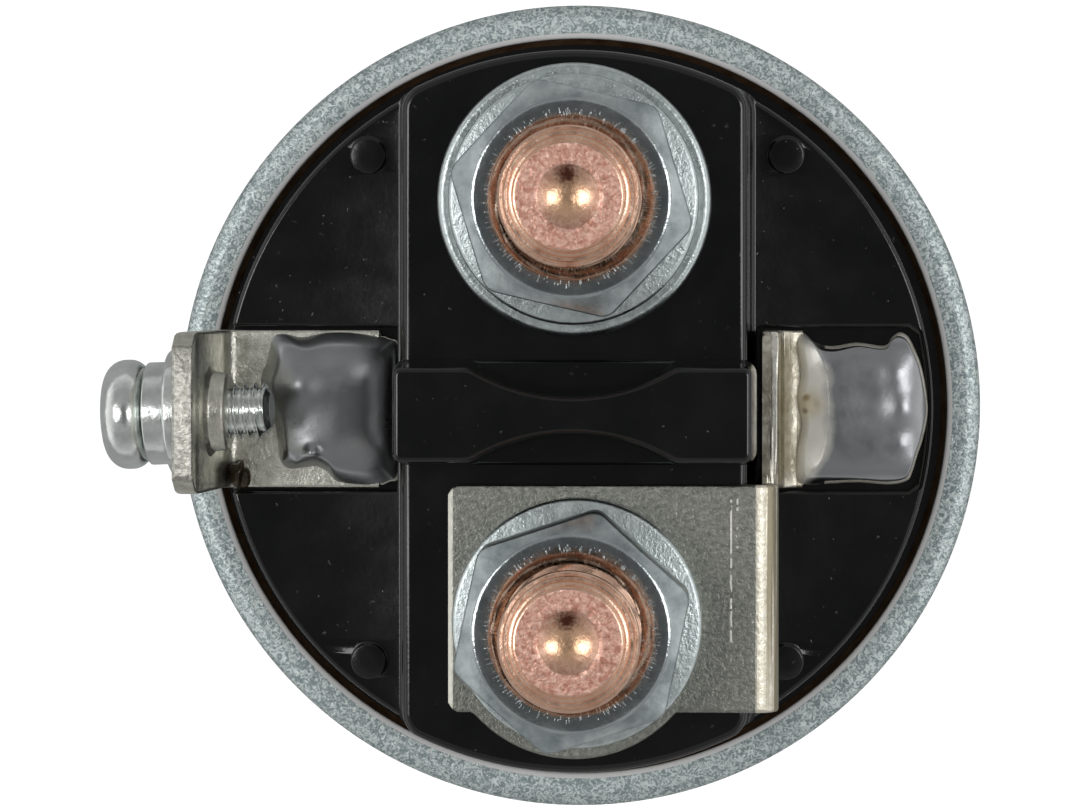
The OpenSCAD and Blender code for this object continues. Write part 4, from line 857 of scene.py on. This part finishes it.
def buildStrap(s):
    t, e, half = s["thickness"], s["edge"], s["footHalf"]
    left, low, high = s["left"], s["bottom"], s["top"]
    level = (0, 1)  # normal of the sheet where it lies flat
    stations = []

    def lobeLow(x):
        if abs(x) < s["lobe"]:
            return min(low, -studY - math.sqrt(s["lobe"] ** 2 - x * x))
        return low
    for depth in (0.0, 0.06, 0.2, 0.34):  # rounded left end, with its corners cut
        x, cut = left + depth, s["cornerCut"] - 0.9 * depth
        stations.append(((x, s["slabTop"]), level, lobeLow(x) + cut, high - cut, max(e - depth, 0) * 0.8))
    bendX, bendZ = s["legX"] - s["bend"], s["slabTop"] - s["bend"]
    for k in range(s["steps"] + 1):
        x = left + (bendX - left) * k / s["steps"]
        if x > left + 0.5:
            stations.append(((x, s["slabTop"]), level, lobeLow(x), high, 0.0))
    stations += bendStations((bendX, bendZ), s["bend"], 90, 0, 8, low, high)[1:]
    footX, footZ = s["legX"] + t + s["footBend"], s["floor"] + t + s["footBend"]
    drop, step = bendZ - s["legDrop"], footZ + s["legLow"]
    for z, y0, y1 in ((bendZ - 0.3, low, high), (drop + 0.02, low, high), (drop, low, half - 0.3),
                      (drop - 0.15, low, half - 0.05), (drop - 0.4, low, half), (step, low, half),
                      (step - 0.1, low + 0.4, half), (step - 0.15, -half - s["legStep"], half),
                      (footZ, -half, half)):
        stations.append(((s["legX"], z), (1, 0), y0, y1, 0.0))
    stations += bendStations((footX, footZ), s["footBend"] + t, 180, 270, 12, -half, half, -1)[1:]
    tongue = s["tongueHalf"]
    for x, y, inset in ((footX + 0.9, tongue, 0.0), (s["footEnd"] - 1.2, tongue, 0.0),
                        (s["footEnd"], tongue - 1, 0.1)):
        stations.append(((x, s["floor"]), level, -y, y, inset))
    strap = meshObject("motorStrap", sheetShell(s, stations), 30)
    hole = pin(s["studHole"], s["slabTop"] - 1, s["slabTop"] + 3, (0, -studY), 96)
    cutWith(strap, [hole], sharpAngle=30)
    dressPiece(strap, "motor_strap", "tinned_sheet", "strapTin", "shearedTin", "edgeHighlightTin", "bendHighlightTin")

    def tinIndex(face, x, y, z):
        ahead, across, up = face.normal
        if z < s["slabTop"] - 0.8 and (up > 0.5 or abs(across) > 0.6) and x < s["legX"] + 1.6:
            return 1  # sheared edges of the leg
        # a painted highlight along the left edge
        if x < left + s["paintedHighlightEdge"]:
            return 2
        # the bends and the foot take the painted highlight
        bent = x > bendX + 0.1 and z > s["slabTop"] - 0.4 and up > 0.2
        foot = x > s["legX"] + t and z < footZ + 0.4 and ahead > 0
        return 3 if bent or foot else 0
    paintFaces(strap, tinIndex)


buildStrap(strapShape)

terminalShape = {"thickness": 1.5, "edge": 0.2, "halfWidth": 5.7, "baseEnd": -14.2, "floor": 62.0,
    "bendX": -24.6, "bendZ": 64.3, "bend": 0.8, "lean": 5.0, "post": 12.75, "cornerWide": 1.1,
    "cornerHigh": 2.0, "screwHeight": 5.85, "collarRadius": 2.85, "collarBore": 1.75, "collarEnd": -0.6}


def postFrame(s):
    # +Z out along the screw, from the point on its axis beside the bend's centre
    cosine, sine = aim(s["lean"])
    out, up = Vector((-cosine, 0, -sine)), Vector((-sine, 0, cosine))
    origin = Vector((s["bendX"], 0, s["bendZ"])) + up * s["screwHeight"]
    return Matrix.Translation(origin) @ Matrix((up.cross(out), up, out)).transposed().to_4x4()


def buildTerminal(s):
    w, post, tall, wide = s["halfWidth"], s["post"], s["post"] - s["cornerHigh"], s["cornerWide"]
    outer = s["bend"] + s["thickness"]
    stations = [((x, s["floor"]), (0, 1), -w, w, inset) for x, inset in (
        (s["baseEnd"], 0.15), (s["baseEnd"] - 0.15, 0.0), (s["bendX"] + 0.2, 0.0))]
    stations += bendStations((s["bendX"], s["bendZ"]), outer, 270, 180 + s["lean"], 12, -w, w, -1)
    cosine, sine = aim(s["lean"])
    out, up = (-cosine, -sine), (-sine, cosine)
    foot = (s["bendX"] + outer * out[0], s["bendZ"] + outer * out[1])
    # height up the post, width cut off each side, inset and outward flare
    for h, cut, inset, flare in (
            (0.4, 0, 0, 0), (tall - 0.3, 0, 0, 0), (tall, 0.05, 0, 0.12), (tall + 0.2, 0.15, 0, 0.18),
            (post - 0.4, wide - 0.2, 0, 0.1), (post - 0.12, wide - 0.05, 0.03, 0.05),
            (post, wide + 0.1, 0.16, 0)):
        edge = (foot[0] + h * up[0] + flare * out[0], foot[1] + h * up[1] + flare * out[1])
        stations.append((edge, (cosine, sine), -w + cut, w - cut, inset))
    radius, bore, collarTop = s["collarRadius"], s["collarBore"], s["bend"] + 0.1
    collar = revolve(filletPath([(bore, s["collarEnd"], 0.1), (radius - 0.15, s["collarEnd"], 0.3),
                                 (radius, s["bend"] - 0.3, 0.2), (radius + 0.5, collarTop, 0),
                                 (bore, collarTop, 0)]), steps=72)
    shell = joinShells(sheetShell(s, stations), placeShell(collar, postFrame(s)))
    terminal = addPiece("switchTerminal", shell, "switch_terminal", "tinned_sheet", "bracketTin", "postEnd",
                        sharpAngle=30)
    postTop = foot[1] + post * up[1]
    paintFaces(terminal, lambda face, x, y, z: int(z > postTop - 0.5))


buildTerminal(terminalShape)
print("strap and switch terminal built")

# switch screw and its washers, drawn along their own axis

screwShape = {"radius": 2.0, "depth": 0.34, "pitch": 0.7, "end": -3.6, "threaded": 3.5, "seat": 5.2,
    "panRadius": 3.9, "panHeight": 3.18, "frontRound": 1.6, "backRound": 1.3, "recessWide": 0.95,
    "recessLong": 4.6, "recessDeep": 1.6, "columns": 96}


def buildScrew(s, frameOf):
    root, end, seat = s["radius"] - s["depth"], s["end"], s["seat"]
    columns, top = s["columns"], s["seat"] + s["panHeight"]
    pan, front = s["panRadius"], s["frontRound"]
    levels = [(pan - fall, seat + inward) for fall, inward in quarterRound(s["backRound"], range(0, 91, 9))]
    for k in range(13):
        cosine, sine = aim(7.2 * k)
        levels.append((pan - front * (1 - cosine), top - front + (front - 0.06) * sine))
    tip = [(root - 0.45, end), (root - 0.4, end), (root - 0.05, end + 0.3)]
    head = [(root, end + 3.7), (root, seat - 0.1), (s["radius"], seat),
            (pan - s["backRound"] - 0.1, seat), *levels, (1.6, top - 0.02), (0.3, top)]
    rings = [circleRing(r, z, columns) for r, z in tip]
    rings += threadRings(s["radius"], s["depth"], s["pitch"], end + 0.32, end + s["threaded"], columns, 12)
    rings += [circleRing(r, z, columns) for r, z in head]
    screw = meshObject("switchScrew", placeShell(loftRings(rings), frameOf), 34)
    tools = []
    w, l = s["recessWide"] / 2, s["recessLong"] / 2
    for turn in (0, 90):  # cross recess, narrower at its floor
        slot = loftRings([[(x * u, y * v, z) for u, v in ((-1, -1), (1, -1), (1, 1), (-1, 1))]
                          for x, y, z in ((l * 0.5, w * 0.7, top - s["recessDeep"]), (l, w, top + 0.5))])
        tools.append(placeShell(slot, frameOf @ Matrix.Rotation(math.radians(turn), 4, "Z")))
    cutWith(screw, tools, sharpAngle=30)
    dressPiece(screw, "switch_screw", "bright_zinc", "screwZinc")


lockWasherShape = {"inner": 2.15, "outer": 3.65, "bottom": 3.6, "thickness": 1.6,
    "rounds": (0.12, 0.15, 0.15, 0.12), "gap": 9.0, "gapAt": -90}
screwWasherShape = {"inner": 2.15, "outer": 4.5, "bottom": 2.3, "thickness": 1.3,
    "rounds": (0.1, 0.15, 0.3, 0.1)}


def buildScrewWashers(lock, flat, frameOf):
    ring = revolve(washerPath(lock, 3), steps=80, gap=(lock["gapAt"] + lock["gap"] / 2, lock["gap"]))
    addPiece("switchLockWasher", placeShell(ring, frameOf), "switch_lock_washer", "bright_zinc", "screwZinc")
    disc = revolve(washerPath(flat), steps=96)
    addPiece("switchFlatWasher", placeShell(disc, frameOf), "switch_flat_washer", "bright_zinc", "screwZinc")


screwTurn = 2.0  # degrees that the screw stands off square in its thread
screwFrame = postFrame(terminalShape) @ Matrix.Rotation(math.radians(screwTurn), 4, "Y")
buildScrew(screwShape, screwFrame)
buildScrewWashers(lockWasherShape, screwWasherShape, screwFrame)
print("switch screw and washers built")

# solder in the two pockets

# outlines run anticlockwise; rise is the dome's height over its edge, a lump is (x, y, reach, height)
switchSolderShape = {"outline": [(-12.85, -4.6), (-12.82, 0), (-12.85, 4.4), (-13.6, 5.1), (-14.8, 5.4),
    (-16.4, 5.66), (-18.2, 5.62), (-19.9, 5.25), (-21.3, 5.55), (-22.1, 5.3), (-22.5, 3.5), (-23.0, 2.2),
    (-22.7, 0.7), (-22.0, -0.8), (-21.7, -2.4), (-21.5, -3.8), (-20.9, -4.35), (-19.9, -4.3),
    (-18.9, -4.2), (-18.1, -4.6), (-17.2, -5.4), (-15.0, -5.68), (-13.6, -5.3)], "crown": (-17.6, 0.4),
    "floor": 63.3, "rise": 2.3, "lean": (2.4, 3.4), "belly": 0.62, "skirt": 0.97, "ripple": 0.07,
    "lumps": [(-20.1, 1.7, 1.4, 0.32), (-19.1, -3.2, 0.6, 0.42), (-21.3, -3.9, 0.4, 0.3),
    (-20.2, -4.0, 0.4, 0.28), (-16.0, -3.8, 1.4, -0.15), (-13.8, -3.0, 0.9, 0.1)], "rimLine": 0.12,
    "rimRows": 1, "rimReach": (0.22, 0.22), "rows": 56}
motorSolderShape = {"outline": [(15.95, -5.2), (15.9, -3.2), (16.25, -1.2), (15.95, 0.8), (16.2, 2.8),
    (15.9, 4.9), (16.4, 5.45), (17.2, 4.8), (18.4, 4.55), (20.2, 4.8), (22.2, 4.6), (22.8, 5.25),
    (23.3, 5.55), (23.9, 5.25), (24.4, 4.3), (24.9, 3.0), (25.3, 1.0), (25.38, -0.3), (25.0, -2.1),
    (24.6, -3.3), (24.2, -4.6), (23.8, -5.2), (22.5, -5.45), (20.3, -5.3), (18.0, -5.4),
    (16.5, -5.45)][::-1], "crown": (20.4, 0.0), "floor": 63.0, "rise": 1.9, "lean": (5.0, 6.0),
    "belly": 0.45, "skirt": 0.98, "ripple": 0.04, "lumps": [(17.0, 3.0, 0.8, 0.08),
    (16.9, -1.8, 0.9, 0.08), (17.1, 0.3, 0.3, -0.12), (22.9, 2.6, 1.1, 0.16), (23.5, 0.1, 1.3, 0.30),
    (23.3, -2.5, 0.6, 0.08)], "slope": {"from": 16.1, "reach": 2.1, "drop": 0.26}, "rimLine": 0.1,
    "rimRows": 8, "rimReach": (0.07, 0.12), "rows": 56}


def smoothLoop(points, perSpan=10):
    # closed curve through the points, with rounded spans
    loop = []
    count = len(points)
    for i in range(count):
        p0, p1, p2, p3 = (Vector(points[(i + k - 1) % count]) for k in range(4))
        for t in (k / perSpan for k in range(perSpan)):
            loop.append(tuple(0.5 * (2 * p1 + (p2 - p0) * t + (2 * p0 - 5 * p1 + 4 * p2 - p3) * t * t +
                                     (3 * p1 - p0 - 3 * p2 + p3) * t ** 3)))
    return loop


def buildSolder(name, s, node, finishName):
    loop = smoothLoop(s["outline"])
    low = [min(p[axis] for p in loop) - 0.05 for axis in (0, 1)]
    high = [max(p[axis] for p in loop) + 0.05 for axis in (0, 1)]
    cx, cy = s["crown"]
    floor, lean, belly = s["floor"], s["lean"], s["belly"]
    slope = s.get("slope")  # long side that the metal ran up
    rings = [[(x, y, floor - 0.35) for x, y in loop]]
    for k in range(s["rows"] + 1):
        share = 1 - (k / s["rows"]) ** 1.5 if k < s["rows"] else 0.02
        ring = []
        for x, y in loop:
            # share of the way in over which the edge rises, at the right and at the left
            rightRim, leftRim = s["rimReach"]
            rim = rightRim + (leftRim - rightRim) * min(max((cx - x) / 3, 0), 1)
            rim = min(1.0, (1 - share) / rim)
            px, py = cx + (x - cx) * share, cy + (y - cy) * share
            u = 2 * (px - low[0]) / (high[0] - low[0]) - 1
            v = 2 * (py - low[1]) / (high[1] - low[1]) - 1
            across = 1 - abs(v) ** lean[1]
            if slope and u < 0:
                edge = slope["from"] + slope["reach"] * (1 - min(abs(v), 1) ** 3)
                dome = max(across ** belly - slope["drop"] * max(edge - px, 0) / s["rise"], 0.15)
            else:
                u *= s["skirt"] if u < 0 else 1.0
                dome = ((1 - abs(u) ** lean[0]) * across) ** belly
            lumps = noise.noise(Vector((px * 0.35, py * 0.3, 7))) * s["ripple"]
            for bx, by, reach, height in s["lumps"]:
                lumps += height * math.exp(-((px - bx) ** 2 + (py - by) ** 2) / reach ** 2)
            ring.append((px, py, floor + (s["rise"] * dome + lumps) * math.sin(math.pi / 2 * rim) ** 0.7))
        rings.append(ring)
    solder = addPiece(name, loftRings(rings), node, "solder", finishName, "solderRim", sharpAngle=70)
    rimFaces = s["rimRows"] * len(loop)

    def rimIndex(face, x, y, z):
        return int(face.index < rimFaces and x > cx - 2.5 or z < floor + s["rimLine"])
    paintFaces(solder, rimIndex)


buildSolder("switchSolder", switchSolderShape, "switch_solder", "solderMetal")
buildSolder("motorSolder", motorSolderShape, "motor_solder", "motorSolderMetal")

# hardened flux that ran up from the switch terminal's bend
fluxShape = {"place": (-24.35, -4.7, 64.2), "radii": (0.75, 1.05, 1.5), "lumps": 0.35, "rows": 20,
    "columns": 32}


def buildFlux(s):
    rings = []
    for row in range(1, s["rows"]):
        tilt = math.pi * row / s["rows"]
        ring = []
        for a in fullTurn(s["columns"]):
            way = Vector((math.sin(tilt) * math.cos(a), math.sin(tilt) * math.sin(a), -math.cos(tilt)))
            swell = 1 + s["lumps"] * noise.noise(way * 1.4 + Vector((4, 0, 2)))
            ring.append(tuple(c + r * w * swell for c, r, w in zip(s["place"], s["radii"], way)))
        rings.append(ring)
    addPiece("terminalFlux", loftRings(rings), None, "solder", "fluxBrown", sharpAngle=70)


buildFlux(fluxShape)
print("solder built")

# plunger end: spring, cup, ring, plunger and eye

plungerSpringShape = {"bottom": -27.0, "top": -2.5, "turns": 5.0, "radius": 13.6, "wire": 2.0,
    "perTurn": 48, "sides": 12}
returnSpringShape = {"bottom": 56.55, "top": 66.0, "turns": 4.0, "radius": 3.2, "wire": 0.8,
    "perTurn": 36, "sides": 8}


def springShell(s):
    # half a closed turn lies flat at each end, a hair off its seat
    seatGap = 0.02
    wire, sides = s["wire"] / 2, [(math.cos(b), math.sin(b)) for b in fullTurn(s["sides"])]
    rise = s["top"] - s["bottom"] - s["wire"] - 2 * seatGap
    rings = []
    steps = int(s["turns"] * s["perTurn"])
    for i in range(steps + 1):
        f = i / s["perTurn"]
        climb = min(s["turns"] - 1, max(0, f - 0.5)) / (s["turns"] - 1)
        a = 2 * math.pi * f
        outward, up = Vector((math.cos(a), math.sin(a), 0)), Vector((0, 0, 1))
        centre = outward * s["radius"] + up * (s["bottom"] + wire + seatGap + rise * climb)
        size = wire * (0.985 if i in (0, steps) else 1.0)
        rings.append([tuple(centre + size * (x * outward + z * up)) for x, z in sides])
    return loftRings(rings)


plungerSpring = addPiece("plungerSpring", springShell(plungerSpringShape), "plunger_spring", "spring_steel",
                         "springSteel")
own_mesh(plungerSpring)
returnSpring = addPiece("contactReturnSpring", springShell(returnSpringShape), "contact_return_spring",
                        "spring_steel", "springSteel")
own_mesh(returnSpring)

plungerShape = {"radius": 11.0, "top": 15.9, "bottom": -27.0, "chamfer": 0.8, "stub": 7.0,
    "stubEnd": -31.2, "grooveTop": -28.2, "grooveBottom": -29.45, "grooveDepth": 0.8}
eyeShape = {"thickness": 8.0, "width": 15.0, "top": -31.2, "bottom": -47.2, "round": 4.0, "slotZ": -40.4,
    "slotWidth": 7.0, "slotLength": 10.0, "edge": 0.4}
cupShape = {"radius": 16.4, "floor": -28.2, "sheet": 1.2, "rim": -24.0, "hole": 7.1}
ringShape = {"inner": 6.2, "outer": 8.4, "bottom": -29.4, "thickness": 1.2,
    "rounds": (0.1, 0.25, 0.1, 0.1), "mouth": 3.0}


def buildPlunger(s):
    stub, radius, foot, low, high = s["stub"], s["radius"], s["stubEnd"], s["bottom"], s["top"]
    neck, shoulder, chamfer = stub - s["grooveDepth"], high - s["chamfer"], s["chamfer"]
    grooveLow, grooveHigh = s["grooveBottom"], s["grooveTop"]
    levels = [(stub - 0.4, foot), (stub - 0.34, foot), (stub - 0.1, foot + 0.1), (stub, foot + 0.35),
              (stub, grooveLow), (neck, grooveLow), (neck, grooveHigh), (stub, grooveHigh), (stub, low),
              (radius - 0.46, low), (radius - 0.4, low), (radius - 0.1, low + 0.12), (radius, low + 0.4),
              (radius, low + 0.46), (radius, shoulder - 0.1), (radius - 0.05, shoulder),
              (radius - chamfer, high - 0.05), (radius - chamfer - 0.1, high)]
    addPiece("plungerBody", discStack(levels, steps=144), "plunger", "plunger_steel", "plungerSteel",
             body="plunger_group")


def buildEye(s):
    # block and slot drawn in the XY plane, their edges rounded, then turned to stand along the axis
    half, t, e = s["width"] / 2, s["thickness"] / 2, s["edge"]
    outer = filletPath([(-half, s["bottom"], s["round"]), (half, s["bottom"], s["round"]),
                        (half, s["top"], e), (-half, s["top"], e)], 8)
    r, straight = s["slotWidth"] / 2, (s["slotLength"] - s["slotWidth"]) / 2
    slot = arcPoints((0, s["slotZ"] + straight), r, 0, 180, 20)
    slot += arcPoints((0, s["slotZ"] - straight), r, 180, 360, 20)
    block = layeredShell(lambda inset: insetLoop(outer, inset), roundedLayers(-t, t, e, e))
    mouth = [(t - inward, -fall) for fall, inward in quarterRound(e)]
    layers = [(-t - 1, -e)] + [(-z, inset) for z, inset in mouth] + mouth[::-1] + [(t + 1, -e)]
    tool = layeredShell(lambda inset: insetLoop(slot, inset), layers)
    stand = Matrix(((0, 0, 1, 0), (1, 0, 0, 0), (0, 1, 0, 0), (0, 0, 0, 1)))
    eye = meshObject("leverEye", placeShell(block, stand))
    cutWith(eye, [placeShell(tool, stand)])
    dressPiece(eye, "lever_eye", "plunger_steel", "coreSteel", body="plunger_group")


def buildCup(s):
    t, radius, floor, rim = s["sheet"], s["radius"], s["floor"], s["rim"]
    path = filletPath([(s["hole"], floor, 0.1), (radius, floor, 1.6), (radius, rim, 0.3),
                       (radius - t, rim, 0.3), (radius - t, floor + t, 0.5), (s["hole"], floor + t, 0.1)])
    addPiece("springSeat", revolve(path), "spring_seat", "pressed_steel", "pressedSteel",
             body="plunger_group")


def buildRing(s):
    half = math.degrees(math.asin(s["mouth"] / 2 / s["inner"]))
    shell = revolve(washerPath(s, 3), steps=96, gap=(half, 2 * half))
    addPiece("seatClip", shell, "seat_clip", "spring_steel", "springSteel", body="plunger_group")


buildPlunger(plungerShape)
buildEye(eyeShape)
buildCup(cupShape)
buildRing(ringShape)
print("plunger end built")

# floor, lights and world

floorLook = {"size": 6.0, "gap": 0.3, "colour": (0.55, 0.55, 0.55), "rough": 0.9, "lift": 0.82}
lampLooks = {
    "leftLamp": {"place": (-0.43, 0.05, 0.85), "target": (0, 0, 0.05), "size": 0.30, "power": 1.25},
    "rightLamp": {"place": (0.43, 0.05, 0.85), "target": (0, 0, 0.05), "size": 0.30, "power": 1.1},
}
sideLook = {"from": 0.55, "to": 0.85, "light": 0.45}  # brighter to the left and the right
# light by height: 0 is the horizon and all below it, 1 is straight up
worldLook = [(0.0, 0.65), (0.30, 0.45), (0.60, 0.31), (0.78, 0.34), (0.88, 0.38), (0.94, 0.28), (0.98, 0.14),
             (1.0, 0.09)]


def buildFloor(look):
    low, half = cadBounds[0].z - look["gap"] * mm, look["size"] / 2
    mesh = bpy.data.meshes.new("floor")
    mesh.from_pydata([(x * half, y * half, low) for x, y in ((-1, -1), (1, -1), (1, 1), (-1, 1))], [],
                     [(0, 1, 2, 3)])
    floor = bpy.data.objects.new("floor", mesh)
    scene.collection.objects.link(floor)
    material, tree, shader = newMaterial("paleFloor")
    camera = addNode(tree, "ShaderNodeLightPath").outputs["Is Camera Ray"]
    lift = addNode(tree, "ShaderNodeMath", {0: camera, 1: look["lift"]}, operation="MULTIPLY")
    feed(tree, shader, {"Base Color": (*look["colour"], 1), "Roughness": look["rough"],
                        "Emission Color": (1, 1, 1, 1), "Emission Strength": lift.outputs[0]})
    floor.data.materials.append(material)


def buildLamp(name, look):
    data = bpy.data.lights.new(name, "AREA")
    data.shape = "SQUARE"
    data.size = look["size"]
    data.energy = look["power"]
    lamp = bpy.data.objects.new(name, data)
    lamp.location = look["place"]
    lamp.rotation_euler = (Vector(look["place"]) - Vector(look["target"])).to_track_quat("Z", "Y").to_euler()
    scene.collection.objects.link(lamp)


def buildWorld(look, side):
    # bright sides, dark round the camera, and white where the camera looks past the part
    world = bpy.data.worlds.new("studio")
    scene.world = world
    world.use_nodes = True
    tree = world.node_tree
    way = addNode(tree, "ShaderNodeTexCoord").outputs["Generated"]
    split = addNode(tree, "ShaderNodeSeparateXYZ", {0: way})
    ramp = addNode(tree, "ShaderNodeValToRGB", {"Fac": split.outputs["Z"]})
    for element, (height, light) in zip(ramp.color_ramp.elements, (look[0], look[-1])):
        element.position = height
        element.color = (light, light, light, 1)
    for height, light in look[1:-1]:
        ramp.color_ramp.elements.new(height).color = (light, light, light, 1)
    across = addNode(tree, "ShaderNodeMath", {0: split.outputs["X"]}, operation="ABSOLUTE")
    panel = addNode(tree, "ShaderNodeMapRange", {"Value": across.outputs[0], "From Min": side["from"],
                                                 "From Max": side["to"], "To Max": side["light"]})
    total = addNode(tree, "ShaderNodeVectorMath", {0: ramp.outputs["Color"], 1: panel.outputs["Result"]},
                    operation="ADD")
    camera = addNode(tree, "ShaderNodeLightPath").outputs["Is Camera Ray"]
    mix = addNode(tree, "ShaderNodeMix", {"Factor": camera, 6: total.outputs["Vector"], 7: (1, 1, 1, 1)},
                  data_type="RGBA")
    feed(tree, tree.nodes["Background"], {"Color": mix.outputs[2]})


buildFloor(floorLook)
for lampName, lampLook in lampLooks.items():
    buildLamp(lampName, lampLook)
buildWorld(worldLook, sideLook)
scene.view_settings.view_transform = "Standard"
print("stage and lights set")
